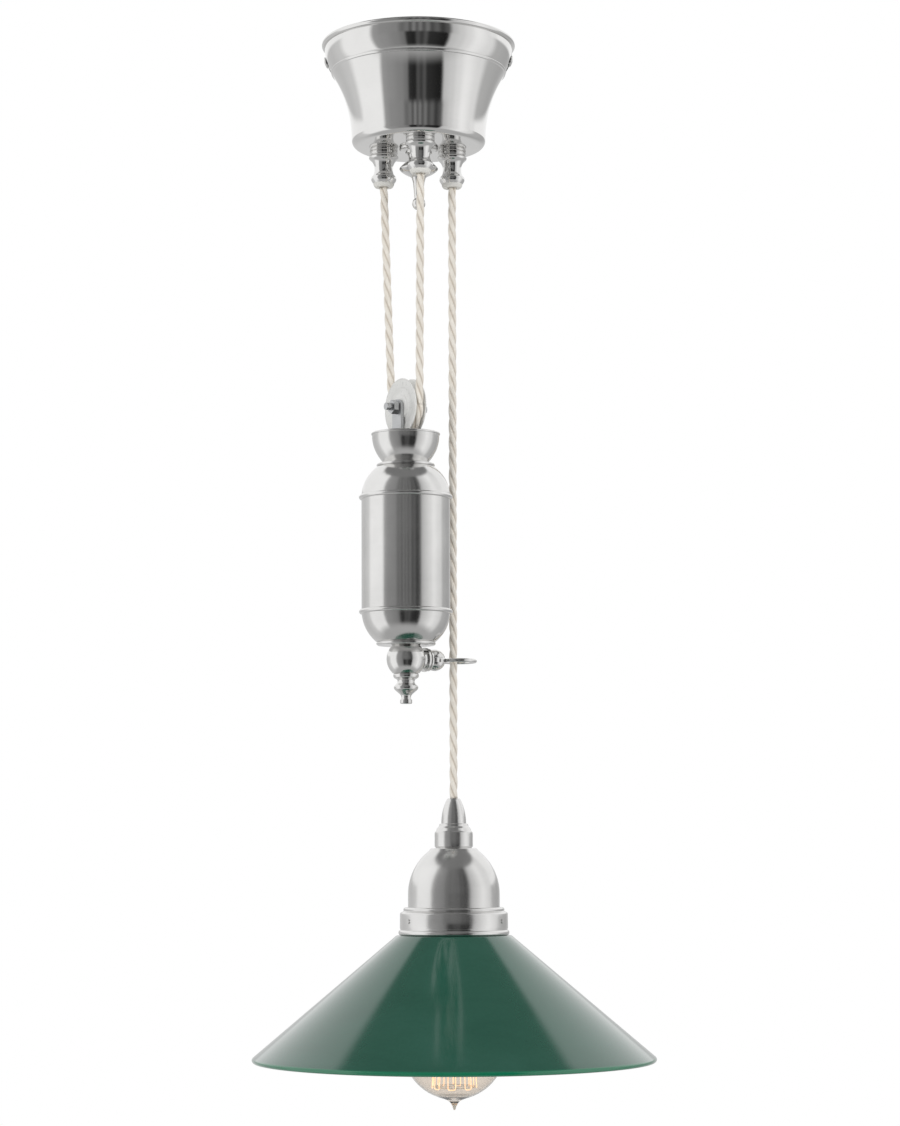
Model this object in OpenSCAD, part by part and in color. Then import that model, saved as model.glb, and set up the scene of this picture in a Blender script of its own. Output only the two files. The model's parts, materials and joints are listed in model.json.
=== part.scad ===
// Rise and fall pendant lamp: a ceiling cup, a counterweight on a pulley and a lamp head
// with a coned glass shade, all on one twisted textile cord.
// Millimetres, +Z up. The origin is the centre of the ceiling cup's rim, on the ceiling.
// +X is to the right and -Y is the front. The front gland lies on -Y.

/* [Ceiling cup] */
// Diameter over the rolled rim
canopy_rim_d = 120.5; // [115:0.5:126]
// Height from the ceiling to the cup's floor
canopy_h = 65.5; // [60:0.5:75]
// Diameter of the wall just above the floor
canopy_base_d = 83.4; // [80:0.1:88]
// Thickness of the spun metal
canopy_wall = 1.2; // [1:0.1:1.6]
// Radius of the rolled bead on the rim
canopy_bead_r = 1.6; // [1.2:0.1:2]
// Radius of the rounded edge between wall and floor
canopy_edge_r = 4.5; // [3:0.5:6]
// Radius of the hollow lower sweep of the wall
canopy_cove_r = 79; // [75:1:95]
// Distance from the ceiling down to the fine line round the wall
canopy_line_drop = 18.5; // [17:0.5:21]
// Width of the two slots for the side screws
slot_w = 4.6; // [4.4:0.1:5]
// Length of the two slots for the side screws
slot_l = 13; // [11:0.5:14]
// Distance from the ceiling down to the side screws
side_screw_drop = 11.5; // [10.5:0.5:12]
// Turn of the two side screws away from the X axis, in degrees
side_screw_turn = -4; // [-15:1:15]
// Diameter of the side screws
side_screw_d = 4; // [3:0.5:4]

/* [Ceiling plate] */
// Diameter of the plate
plate_d = 86; // [80:1:90]
// Thickness of the plate and of its two ears
plate_t = 2; // [1.6:0.1:2.5]
// Distance between the two ceiling screws
ceiling_screw_spacing = 60; // [54:1:66]
// Diameter of the holes for the ceiling screws
ceiling_screw_hole_d = 5; // [4:0.5:6]
// Diameter of the hole for the supply cable
supply_hole_d = 12; // [8:1:14]
// Diameter of the rod down to the centre finial
centre_rod_d = 6; // [5:0.5:6.5]

/* [Glands] */
// Radius of the circle that the three glands stand on
gland_circle_r = 24.7; // [24:0.1:26]
// Diameter of a gland's flange
gland_flange_d = 17.6; // [16:0.2:19]
// Diameter of a gland's upper bead
gland_bead_d = 18.6; // [17:0.2:20]
// Diameter of a gland's column
gland_column_d = 12; // [11.4:0.2:13]
// Diameter of a gland's lower ring
gland_ring_d = 15.8; // [14:0.2:17]
// Length of a gland below the cup
gland_l = 19.9; // [19:0.1:24]
// Diameter of the threaded shank above the cup's floor
gland_shank_d = 10; // [9.6:0.1:10.6]
// How far the white bush stands out of a gland
bush_out = 2.4; // [1.6:0.2:3]
// Diameter of the white bush at the gland's mouth
bush_d = 13; // [12:0.1:13.2]

/* [Centre finial] */
// Diameter of the finial's flange
finial_flange_d = 24; // [22:0.5:26]
// Diameter of the finial's wide disc
finial_disc_d = 24; // [20:0.5:25]
// Length of the turned body down to the stem
finial_body_l = 19; // [18:0.5:22]
// Length of the tapered stem
finial_stem_l = 12.5; // [10:0.5:14]
// Diameter of the small end ball
finial_ball_d = 8.4; // [7:0.2:9]

/* [Cord] */
// Diameter of the twisted cord
cord_d = 5; // [4.6:0.1:5.2]
// Clearance between the cord and what it runs in
cord_gap = 0.35; // [0.3:0.05:0.4]

/* [Ceiling pulley] */
// How far the wheel's flanges stand above the cord's centre
ceiling_flange_h = 2.2; // [1.8:0.1:3]
// Width of the ceiling pulley
ceiling_pulley_w = 8; // [7.6:0.1:9]
// Diameter of its axle
ceiling_axle_d = 5; // [4:0.5:6]
// Thickness of the bracket's metal
bracket_t = 1.6; // [1.4:0.1:2]

/* [Weight pulley] */
// Distance from the cup's floor down to the weight pulley's axle
axle_drop = 164; // [150:1:200]
// Radius at which the cord's centre runs on the wheel
pulley_cord_r = 16; // [15.5:0.1:17]
// How far the wheel's flanges stand above the cord's centre
pulley_flange_h = 2.2; // [1.8:0.1:2.8]
// Width of the wheel
pulley_w = 8.5; // [7.8:0.1:9]
// Diameter of the wheel's metal bush
pulley_bush_d = 8; // [7:0.5:9]
// Diameter of the axle
axle_d = 4.5; // [4:0.1:5]
// Length of the axle
axle_l = 29; // [26:0.5:32]
// Width across the flats of the axle's nuts
axle_nut_af = 7.6; // [7:0.1:8]
// Width of the stirrup's cheeks
cheek_w = 10; // [9:0.5:11]
// Thickness of the stirrup's metal
cheek_t = 2; // [1.6:0.1:2.4]
// Clearance between the wheel and each cheek
cheek_gap = 0.4; // [0.3:0.1:0.6]
// Radial clearance of an axle in its hole
axle_gap = 0.05; // [0.03:0.01:0.08]

/* [Counterweight] */
// How far the weight's axis lies beyond the middle of its two cords
weight_shift = 2.4; // [1.5:0.1:3]
// Distance from the axle down to the cup's rim
cup_drop = 15.5; // [15:0.5:17]
// Height of the cup
cup_h = 18.3; // [17.5:0.1:20]
// Diameter over the cup's rim
cup_rim_d = 42.6; // [41:0.2:44]
// Diameter of the cup at its floor
cup_floor_d = 28; // [26:0.2:30]
// Wall of the cup
cup_wall = 1.2; // [1:0.1:1.4]
// Diameter of the collar under the cup
top_disc_d = 36; // [34:0.5:37]
// Thickness of the collar under the cup
top_disc_t = 2.7; // [2:0.1:3.5]
// Diameter of the barrel
barrel_d = 54.7; // [53:0.1:56]
// Length of the barrel between its two beads
barrel_l = 68; // [50:1:90]
// Wall of the weight's shells
shell_wall = 1.2; // [1:0.1:1.5]
// How far the barrel's two beads stand out
barrel_bead_out = 1.55; // [1.2:0.05:1.9]
// Height of a bead
barrel_bead_h = 2.8; // [2:0.1:3]
// Radius of the upper dome's curve
top_dome_r = 23.3; // [22:0.1:25]
// Height of the upper dome
top_dome_h = 17.6; // [16:0.1:18]
// Radius of the lower dome's curve
bottom_dome_r = 25; // [23.5:0.1:27]
// Height of the lower dome
bottom_dome_h = 17.1; // [16:0.1:18]
// Diameter of the disc under the lower dome
base_disc_d = 36.6; // [35:0.2:38]
// Thickness of the disc under the lower dome
base_disc_t = 2.3; // [2:0.1:3]
// Diameter of the ball
ball_d = 24; // [23:0.2:25]
// Height of the ball between its two flats
ball_h = 17.2; // [16:0.2:18]
// Diameter of the weight finial's widest beads
tail_bead_d = 15.6; // [14:0.2:17]
// Length of the weight finial
tail_l = 18.8; // [18:0.2:22]
// Diameter of the rod through the weight
weight_rod_d = 6; // [5:0.5:8]

/* [Guide arm] */
// Diameter of the arm's collar against the ball
arm_collar_d = 15; // [14:0.5:16]
// Distance from the weight's axis to the knuckle's centre
knuckle_reach = 20.8; // [20.4:0.1:22]
// Diameter of the slotted knuckle
knuckle_d = 13.4; // [13:0.1:14]
// Diameter of the upright pin in the knuckle
knuckle_pin_d = 2.5; // [2.2:0.1:3]
// Distance from the weight's axis to the guide ring's centre
ring_reach = 38.4; // [38:0.1:39]
// Diameter over the guide ring
ring_d = 23.2; // [22.8:0.2:24]
// Thickness of the guide ring's wire
ring_wire_d = 2.5; // [2.2:0.1:2.6]

/* [Lamp head] */
// Distance from the cup's floor down to the tip of the nose cone
lamp_drop = 405; // [399:1:520]
// Height of the nose cone
nose_h = 15.6; // [14:0.2:18]
// Diameter of the nose cone at its tip
nose_tip_d = 8.4; // [8.2:0.1:9]
// Diameter of the nose cone at its foot
nose_foot_d = 15.4; // [15:0.1:16]
// Height of the stepped collar
collar_h = 15.2; // [14:0.2:18]
// Diameter of the stepped collar
collar_d = 23.7; // [23:0.1:26]
// Diameter of the dome's flat top
dome_top_d = 30.6; // [30:0.1:31]
// Diameter of the dome at its foot
dome_foot_d = 56.8; // [56.2:0.1:58]
// Radius of the dome's curve
dome_r = 34; // [32:0.5:38]
// Wall of the dome and of the gallery
head_wall = 1.2; // [1:0.1:1.4]
// Straight foot of the dome, below its curve
dome_foot_h = 10.8; // [9:0.1:12]
// Diameter over the gallery's band
gallery_d = 66.8; // [66:0.1:68]
// Diameter over the gallery's rim
gallery_rim_d = 68.8; // [68.4:0.1:70]
// Height of the gallery's band with its rim
gallery_h = 17.4; // [16:0.1:20]
// Diameter of the shade screws
shade_screw_d = 3; // [2.5:0.5:4]

/* [Lampholder] */
// Diameter of the threaded tube that holds the lampholder
nipple_d = 10; // [9:0.5:11]
// Diameter of the ceramic body
holder_body_d = 35; // [33:0.5:35.4]
// Height of the ceramic body
holder_body_h = 40.5; // [38:0.5:42]
// Depth of the terminal space in the ceramic body
holder_well_h = 7; // [6:0.5:8]

/* [Shade] */
// Diameter over the shade's rim
shade_d = 250; // [220:1:300]
// Diameter of the shade's fitter neck
fitter_d = 59.6; // [58:0.1:60]
// Diameter at the top of the shade's cone
shade_top_d = 72.8; // [71:0.2:75]
// Slope of the cone below the horizontal, in degrees
shade_slope = 40.2; // [35:0.1:45]
// Thickness of the glass
shade_t = 3.2; // [2.8:0.1:3.6]
// Height of the fitter neck
fitter_h = 12; // [10:0.5:13]

/* [Bulb] */
// Diameter of the bulb's globe
bulb_d = 64; // [60:0.5:66]
// Distance from the lamp cap's foot down to the globe's centre
bulb_centre_drop = 79; // [78:0.5:84]
// Diameter of the lamp cap
cap_d = 26.4; // [26:0.1:26.4]
// Height of the lamp cap's threaded shell
cap_h = 24; // [22:0.5:26]
// Thickness of the bulb's glass
bulb_glass_t = 0.8; // [0.6:0.1:1]
// Length of the drawn tip under the globe
bulb_tip_l = 6.5; // [5:0.5:8]
// Diameter of the filament wire
filament_d = 0.6; // [0.5:0.1:0.8]
// Number of filament loops
filament_loops = 8; // [6:1:10]

/* [Hidden] */

// Fineness of round shapes
$fn = 48;
// Smallest overlap that joins two shapes of one piece, and that opens a cut
eps = 0.02;
// Gap between soft or curved faces that only rest near each other
rest_gap = 0.3;

// ---- curves ----

// Points on an arc about c, from angle a0 to a1
function arc(c, r, a0, a1, n = 8) =
    [for (i = [0:n]) c + r * [cos(a0 + (a1 - a0) * i / n), sin(a0 + (a1 - a0) * i / n)]];

// One point of a Catmull-Rom curve
function blend(a, b, c, d, t) =
    0.5 * (2 * b + (c - a) * t + (2 * a - 5 * b + 4 * c - d) * t * t + (3 * b - 3 * c + d - a) * t * t * t);

// A smooth curve through the points p, with n steps between two points
function smooth(p, n = 4) = let (last = len(p) - 1) concat(
    [for (i = [0:last - 1], k = [0:n - 1])
        blend(p[max(i - 1, 0)], p[i], p[i + 1], p[min(i + 2, last)], k / n)],
    [p[last]]);

function reversed(p) = [for (i = [len(p) - 1:-1:0]) p[i]];

// A solid of revolution about Z, from an outline of [radius, height]
module turned(outline) rotate_extrude() polygon(outline);

// The same about the X axis, from an outline of [radius, place along X]
module turned_x(outline) rotate([0, 90, 0]) turned(outline);

// A cylinder along X, between two places
module rod_x(d, x0, x1) translate([x0, 0, 0]) rotate([0, 90, 0]) cylinder(d = d, h = x1 - x0);

// A hexagonal nut on Z
module hex_nut(af, bore_d, h) difference() {
    cylinder(d = af / cos(30), h = h, $fn = 6);
    translate([0, 0, -eps]) cylinder(d = bore_d, h = h + 2 * eps);
}

// ---- cord ----

function unit(v) = v / norm(v);

// Direction of the route at its point i
function heading(route, i) =
    unit(route[min(i + 1, len(route) - 1)] - route[max(i - 1, 0)]);

// One ring of a tube, square to the given direction; side is never along that direction
function ring(c, dir, side, r, sides) = let (u = unit(cross(side, dir)), v = cross(dir, u))
    [for (k = [0:sides - 1]) c + r * (cos(360 * k / sides) * u + sin(360 * k / sides) * v)];

// A closed tube along a route, whose rings lie in the planes that dirs gives
module tube_on(route, dirs, side, d, sides) {
    n = len(route);
    points = [for (i = [0:n - 1]) each ring(route[i], dirs[i], side, d / 2, sides)];
    walls = [for (i = [0:n - 2], k = [0:sides - 1])
        let (a = i * sides + k, b = i * sides + (k + 1) % sides)
            each [[a, b, b + sides], [a, b + sides, a + sides]]];
    foot = [for (k = [1:sides - 2]) [0, k + 1, k]];
    top = (n - 1) * sides;
    head = [for (k = [1:sides - 2]) [top, top + k, top + k + 1]];
    polyhedron(concat(points, [route[0]]), concat(walls, foot, head), convexity = 6);
}

// A tube square to its route
module tube(route, d, side, sides = 10)
    tube_on(route, [for (i = [0:len(route) - 1]) heading(route, i)], side, d, sides);

// A nearly upright strand between two points, cut level at both ends
module strand(low, high) {
    steps = ceil(norm(high - low) / (5 * cord_d));
    route = [for (i = [0:steps]) low + (high - low) * i / steps];
    tube_on(route, [for (i = [0:steps]) [0, 0, 1]], [1, 0, 0], cord_d, 10);
}

// ---- places ----

floor_z = -canopy_h;
floor_top = floor_z + canopy_wall;
gland_left_at = gland_circle_r * [cos(150), sin(150)];
gland_front_at = gland_circle_r * [0, -1];
gland_right_at = gland_circle_r * [cos(30), sin(30)];
gland_places = [gland_left_at, gland_front_at, gland_right_at];
gland_span = norm(gland_right_at - gland_front_at);
mouth_z = floor_z - gland_l - bush_out;
bush_bore_d = cord_d + 2 * cord_gap;
gland_bore_d = bush_bore_d + 0.6;
bush_spigot_d = bush_d - 3.2;
bush_spigot_l = 5;
nut_h = 3.5;
nut_af = 14;
shank_top = floor_top + bracket_t + nut_h + 1;

// The weight's axis and the directions of its arm and of its wheel
arm_turn = 30;
arm_dir = [cos(arm_turn), sin(arm_turn)];
wheel_dir = [sin(arm_turn), -cos(arm_turn)];
weight_at = (gland_left_at + gland_front_at) / 2 + weight_shift * arm_dir;
axle_z = floor_z - axle_drop;
module at_weight() translate([weight_at.x, weight_at.y, 0]) rotate([0, 0, arm_turn]) children();

// The ceiling pulley hangs between the front and the right gland
ceiling_wheel_at = (gland_front_at + gland_right_at) / 2;
ceiling_cord_r = gland_span / 2;
ceiling_wheel_r = ceiling_cord_r + ceiling_flange_h;
ceiling_axle_z = floor_top + bracket_t + ceiling_wheel_r + 1.5;
module at_ceiling_wheel()
    translate([ceiling_wheel_at.x, ceiling_wheel_at.y, ceiling_axle_z])
        rotate([0, 0, -arm_turn]) children();

// The lamp head hangs under the right gland
lamp_at = gland_right_at;
lamp_top = floor_z - lamp_drop;
module at_lamp(z = 0) translate([lamp_at.x, lamp_at.y, lamp_top + z]) children();

// ---- ceiling cup ----

// The hollow sweep starts above the rounded edge and ends at the fine line
base_r = canopy_base_d / 2;
cove_z = floor_z + canopy_edge_r;
cove_at = [base_r + canopy_cove_r, cove_z];
line_z = -canopy_line_drop;
cove_turn = asin((line_z - cove_z) / canopy_cove_r);
line_r = cove_at.x - canopy_cove_r * cos(cove_turn);
// The swelling shoulder runs on from there, without a kink, to the rim's bead
bead_at = [canopy_rim_d / 2 - canopy_bead_r, -canopy_bead_r];
shoulder_end = bead_at + [-0.24, -canopy_bead_r + 0.3];
shoulder_run = shoulder_end - [line_r, line_z];
shoulder_r = (shoulder_run * shoulder_run)
    / (2 * (shoulder_run.y * sin(cove_turn) - shoulder_run.x * cos(cove_turn)));
shoulder_at = [line_r, line_z] - shoulder_r * [cos(cove_turn), -sin(cove_turn)];
shoulder_turn = asin((shoulder_at.y - shoulder_end.y) / shoulder_r);
line_proud = 0.4;

// Outline of the cup's wall, set in from its outer face
function canopy_side(inset) = concat(
    arc([base_r - canopy_edge_r, cove_z], canopy_edge_r - inset, -90, 0, 5),
    arc(cove_at, canopy_cove_r + inset, 180, 180 - cove_turn, 10),
    arc(shoulder_at, shoulder_r - inset, -cove_turn, -shoulder_turn, 6));

// Place on the cup's outer wall at height z of the shoulder, and the wall's lean there
side_lean = asin((shoulder_at.y + side_screw_drop) / shoulder_r);
side_r = shoulder_at.x + shoulder_r * cos(side_lean);
module at_side_screws() for (a = [0, 180]) rotate([0, 0, a + side_screw_turn])
    translate([side_r, 0, -side_screw_drop]) rotate([0, side_lean, 0]) children();

module canopy_shell() color("silver") difference() {
    union() {
        turned(concat([[0, floor_z]], canopy_side(0), reversed(canopy_side(canopy_wall)),
            [[0, floor_top]]));
        translate([0, 0, bead_at.y]) rotate_extrude() translate([bead_at.x, 0]) circle(r = canopy_bead_r);
        turned([[line_r - 0.6, line_z - 0.8], [line_r - 0.2, line_z - 0.7], [line_r + line_proud, line_z],
            [line_r + line_proud + 0.2, line_z + 0.4], [line_r - 0.6, line_z + 0.8]]);
    }
    for (p = gland_places) translate([p.x, p.y, floor_z - 1])
        cylinder(d = gland_shank_d + 2 * axle_gap, h = canopy_wall + 2);
    translate([0, 0, floor_z - 1]) cylinder(d = centre_rod_d + 2 * axle_gap, h = canopy_wall + 2);
    at_side_screws() for (s = [-1, 1]) translate([0, 0, s * (slot_l - slot_w) / 2])
        rod_x(slot_w, -4, 3);
    at_side_screws() translate([-4, -slot_w / 2, (slot_w - slot_l) / 2])
        cube([7, slot_w, slot_l - slot_w]);
}

ear_w = 13;
ear_gap = 1.7;
// The ears lean with the wall and run up into the plate's strap
ear_up = (side_screw_drop - (canopy_wall + ear_gap + plate_t) * sin(side_lean) - plate_t / 2)
    / cos(side_lean);
strap_reach = side_r - (canopy_wall + ear_gap + plate_t / 2) * cos(side_lean) + ear_up * sin(side_lean);
supply_hole_at = [-17, -17];
earth_screw_at = [12, -30];
terminal_at = [5, 25];

module ceiling_plate() color("lightgray") difference() {
    union() {
        translate([0, 0, -plate_t]) cylinder(d = plate_d, h = plate_t);
        rotate([0, 0, side_screw_turn]) translate([-strap_reach, -ear_w / 2, -plate_t])
            cube([2 * strap_reach, ear_w, plate_t]);
        at_side_screws() translate([-canopy_wall - ear_gap - plate_t, -ear_w / 2, -4.5])
            cube([plate_t, ear_w, 4.5 + ear_up]);
    }
    translate([0, 0, -plate_t - 1]) cylinder(d = centre_rod_d + 2 * axle_gap, h = plate_t + 2);
    for (s = [-1, 1]) translate([0, s * ceiling_screw_spacing / 2, -plate_t - 1])
        cylinder(d = ceiling_screw_hole_d, h = plate_t + 2);
    translate([supply_hole_at.x, supply_hole_at.y, -plate_t - 1])
        cylinder(d = supply_hole_d, h = plate_t + 2);
    translate([earth_screw_at.x, earth_screw_at.y, -plate_t - 1]) cylinder(d = 4, h = plate_t + 2);
    at_side_screws() rod_x(side_screw_d + 2 * axle_gap, -8, 0);
}

module side_screws() color("silver") at_side_screws() difference() {
    union() {
        turned_x([[0, 0.02], [3.6, 0.02], [3.6, 0.5], [2.6, 1.1], [1.2, 1.35], [0, 1.4]]);
        rod_x(side_screw_d, -8, 0.5);
    }
    translate([0.8, -5, -0.4]) cube([2, 10, 0.8]);
}

module centre_rod() color("silver")
    translate([0, 0, floor_z - finial_body_l + 4])
        cylinder(d = centre_rod_d, h = canopy_h + finial_body_l - 4.4);

module centre_rod_nut() color("silver")
    translate([0, 0, -plate_t - 5]) hex_nut(10, centre_rod_d + 2 * axle_gap, 5);

module earth_screw() color("goldenrod") translate([earth_screw_at.x, earth_screw_at.y, 0]) difference() {
    union() {
        translate([0, 0, -plate_t - 6]) cylinder(d = 4, h = plate_t + 5.8);
        translate([0, 0, -plate_t - 2.6]) cylinder(d = 9, h = 0.8);
        translate([0, 0, -plate_t - 1.8]) cylinder(d = 8, h = 1.8, $fn = 6);
    }
    translate([-3, -0.5, -plate_t - 7]) cube([6, 1, 2]);
}

// ---- glands and centre finial ----

module gland(place) color("silver") translate([place.x, place.y, floor_z]) difference() {
    turned(concat(
        [[0, shank_top - floor_z], [gland_shank_d / 2, shank_top - floor_z], [gland_shank_d / 2, 0],
            [gland_flange_d / 2 - 0.3, 0]],
        smooth([[gland_flange_d / 2, -0.4], [gland_flange_d / 2, -1.5], [gland_flange_d / 2 - 0.6, -2]], 3),
        smooth([[gland_bead_d / 2 - 0.4, -2.6], [gland_bead_d / 2, -3.6], [gland_bead_d / 2 - 0.5, -4.7],
            [gland_column_d / 2 + 1.2, -6.2], [gland_column_d / 2, -8.8], [gland_column_d / 2 - 0.1, -12.4],
            [gland_column_d / 2 + 0.5, -14.4]]),
        smooth([[gland_ring_d / 2 - 0.9, -gland_l + 4.9], [gland_ring_d / 2 - 0.1, -gland_l + 3.8],
            [gland_ring_d / 2 - 0.1, -gland_l + 2], [gland_ring_d / 2 - 1.3, -gland_l]]),
        [[0, -gland_l]]));
    translate([0, 0, -gland_l - 1]) cylinder(d = gland_bore_d, h = gland_l + shank_top - floor_z + 2);
    translate([0, 0, -gland_l - 1]) cylinder(d = bush_spigot_d, h = bush_spigot_l + 1);
}
module gland_left() gland(gland_left_at);
module gland_front() gland(gland_front_at);
module gland_right() gland(gland_right_at);

module gland_bushes() color("white") for (p = gland_places) translate([p.x, p.y, floor_z - gland_l])
    turned(concat([[bush_bore_d / 2, bush_spigot_l], [bush_spigot_d / 2, bush_spigot_l],
        [bush_spigot_d / 2, 0], [bush_d / 2, 0]],
        smooth([[bush_d / 2, -0.4], [bush_d / 2 - 0.3, -1.4], [bush_d / 2 - 1, -bush_out]], 3),
        [[bush_bore_d / 2, -bush_out]]));

module gland_nuts() color("silver") for (p = gland_places) translate([p.x, p.y, floor_top + bracket_t])
    hex_nut(nut_af, gland_shank_d + 2 * axle_gap, nut_h);

finial_disc_r = finial_disc_d / 2;
stem_r = 4.4;
module centre_finial() color("silver") translate([0, 0, floor_z]) difference() {
    turned(concat(
        [[0, 0], [finial_flange_d / 2 - 0.4, 0]],
        smooth([[finial_flange_d / 2, -0.5], [finial_flange_d / 2 - 0.2, -1.6],
            [finial_flange_d / 2 - 1.4, -2.2]], 3),
        smooth([[8.2, -2.8], [8.3, -3.8], [7, -5], [6.3, -6.6], [6.8, -8.2], [finial_disc_r - 2.4, -10.6],
            [finial_disc_r - 0.3, -12.8], [finial_disc_r - 0.2, -14], [finial_disc_r - 2.6, -16],
            [stem_r + 1.2, -finial_body_l + 1], [stem_r, -finial_body_l]]),
        [[2.7, -finial_body_l - finial_stem_l], [2.7, -finial_body_l - finial_stem_l - 0.6]],
        arc([0, -finial_body_l - finial_stem_l - 3.6], finial_ball_d / 2, 45, -90, 9)));
    translate([0, 0, -finial_body_l + 3.8]) cylinder(d = centre_rod_d + 2 * axle_gap, h = finial_body_l);
}

// ---- inside the ceiling cup ----

// A grooved wheel on the X axis
module grooved_wheel(cord_r, flange_h, w, bore_d) {
    edge_r = cord_r + flange_h;
    groove_r = cord_d / 2 + cord_gap;
    half = w / 2;
    turned_x(concat(
        [[bore_d / 2, -half], [cord_r - 5, -half], [cord_r - 4.4, -half + 0.5],
            [edge_r - 0.9, -half + 0.5]],
        arc([edge_r - 0.5, -half + 1], 0.5, -90, 45, 3),
        arc([cord_r, 0], groove_r, -105, -255, 10),
        arc([edge_r - 0.5, half - 1], 0.5, -45, 90, 3),
        [[edge_r - 0.9, half - 0.5], [cord_r - 4.4, half - 0.5], [cord_r - 5, half], [bore_d / 2, half]]));
}

cheek_x = ceiling_pulley_w / 2 + cheek_gap;
bracket_half_l = ceiling_cord_r + 7.4;
module pulley_bracket() color("lightgray") at_ceiling_wheel() difference() {
    union() {
        translate([-cheek_x - bracket_t, -bracket_half_l, floor_top - ceiling_axle_z])
            cube([2 * (cheek_x + bracket_t), 2 * bracket_half_l, bracket_t]);
        for (x = [-cheek_x - bracket_t, cheek_x]) translate([x, 0, 0]) rotate([90, 0, 90])
            linear_extrude(bracket_t) {
                circle(r = 6);
                polygon([[-6, 0], [6, 0], [11, floor_top - ceiling_axle_z],
                    [-11, floor_top - ceiling_axle_z]]);
            }
    }
    rod_x(ceiling_axle_d + 2 * axle_gap, -cheek_x - 5, cheek_x + 5);
    for (s = [-1, 1]) translate([0, s * ceiling_cord_r, floor_top - ceiling_axle_z - 1])
        cylinder(d = gland_shank_d + 2 * axle_gap, h = bracket_t + 2);
}

module ceiling_pulley() color("white") at_ceiling_wheel()
    grooved_wheel(ceiling_cord_r, ceiling_flange_h, ceiling_pulley_w, ceiling_axle_d + 2 * axle_gap);

axle_head_h = 2.4;
module ceiling_axle() color("silver") at_ceiling_wheel() {
    rod_x(ceiling_axle_d, -cheek_x - bracket_t - 0.1, cheek_x + bracket_t + 5);
    translate([-cheek_x - bracket_t - axle_head_h, 0, 0]) rotate([0, 90, 0])
        cylinder(d = 8 / cos(30), h = axle_head_h, $fn = 6);
}

module ceiling_axle_nut() color("silver") at_ceiling_wheel()
    translate([cheek_x + bracket_t, 0, 0])
        rotate([0, 90, 0]) hex_nut(8, ceiling_axle_d + 2 * axle_gap, 3.6);

// The fixed end of the cord is clamped above the left gland
anchor_z = floor_top + 17;
clamp_h = 9;
clamp_w = 19;
clamp_t = 3;
clamp_screw_y = 6.2;
upright_x = -cord_d / 2 - cord_gap;
module at_anchor() translate([gland_left_at.x, gland_left_at.y, 0]) rotate([0, 0, 150]) children();

module anchor_bracket() color("lightgray") at_anchor() difference() {
    union() {
        translate([upright_x - bracket_t, -clamp_w / 2, floor_top]) cube([11, clamp_w, bracket_t]);
        translate([upright_x - bracket_t, -clamp_w / 2, floor_top])
            cube([bracket_t, clamp_w, anchor_z - floor_top + clamp_h / 2]);
    }
    translate([0, 0, floor_top - 1]) cylinder(d = gland_shank_d + 2 * axle_gap, h = bracket_t + 2);
    translate([upright_x - 5, 0, floor_top + bracket_t]) rotate([0, 90, 0]) cylinder(d = nut_af + 2, h = 6);
    for (s = [-1, 1]) translate([0, s * clamp_screw_y, anchor_z]) rod_x(3 + 2 * axle_gap, upright_x - 5, 0);
}

module anchor_clamp() color("lightgray") at_anchor() difference() {
    translate([0.6, -clamp_w / 2, anchor_z - clamp_h / 2]) cube([clamp_t + 1.4, clamp_w, clamp_h]);
    translate([0, 0, anchor_z - clamp_h]) cylinder(d = cord_d + 2 * cord_gap, h = 2 * clamp_h);
    for (s = [-1, 1]) translate([0, s * clamp_screw_y, anchor_z]) rod_x(3 + 2 * axle_gap, -2, 8);
}

module anchor_screws() color("silver") at_anchor() for (s = [-1, 1])
    translate([0, s * clamp_screw_y, anchor_z]) {
    rod_x(3, upright_x - bracket_t - 2, clamp_t + 2.1);
    translate([clamp_t + 2, 0, 0]) turned_x([[0, 0], [2.8, 0], [2.8, 1.2], [1.8, 2], [0, 2.2]]);
}

terminal_size = [30, 15, 14];
terminal_gap = 9.4;
terminal_z = -plate_t - terminal_size.z;
module terminal_block() color("ivory") translate([terminal_at.x, terminal_at.y, terminal_z]) difference() {
    translate([-terminal_size.x / 2, -terminal_size.y / 2, 0]) cube(terminal_size);
    for (i = [-1, 1]) translate([i * terminal_gap / 2, 0, 0]) {
        for (s = [-1, 1]) translate([0, s * 4, -1]) cylinder(d = 4.2, h = 6);
        translate([0, 9, 7]) rotate([90, 0, 0]) cylinder(d = 3.6, h = 18);
    }
    translate([-terminal_size.x / 2 - 1, 0, 7]) rotate([0, 90, 0])
        cylinder(d = cord_d + 2 * cord_gap, h = 7);
}
module terminal_screws() color("goldenrod") translate([terminal_at.x, terminal_at.y, terminal_z])
    for (i = [-1, 1], s = [-1, 1]) translate([i * terminal_gap / 2, s * 4, 1]) cylinder(d = 4, h = 3.9);

// ---- cords ----

// From the terminal block down through the clamp to the left gland's mouth
fixed_end_curve = [
    [-21, 14, -36], [-21.5, 15, -30], [-21.5, 17.5, -23], [-20.5, 20.5, -17.5], [-18, 23.5, -12],
        [-14.5, 25, -9]];
module cord_fixed_end() color("beige") {
    low = [gland_left_at.x, gland_left_at.y, mouth_z];
    straight_top = anchor_z + 6;
    steps = 3;
    route = concat(
        [for (i = [0:steps]) [low.x, low.y, mouth_z + (straight_top - mouth_z) * i / steps]],
        smooth(fixed_end_curve, 2),
        [[terminal_at.x - terminal_size.x / 2 + 5, terminal_at.y, terminal_z + 7]]);
    tube(route, cord_d, [0.6, -0.8, 0]);
}

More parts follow.
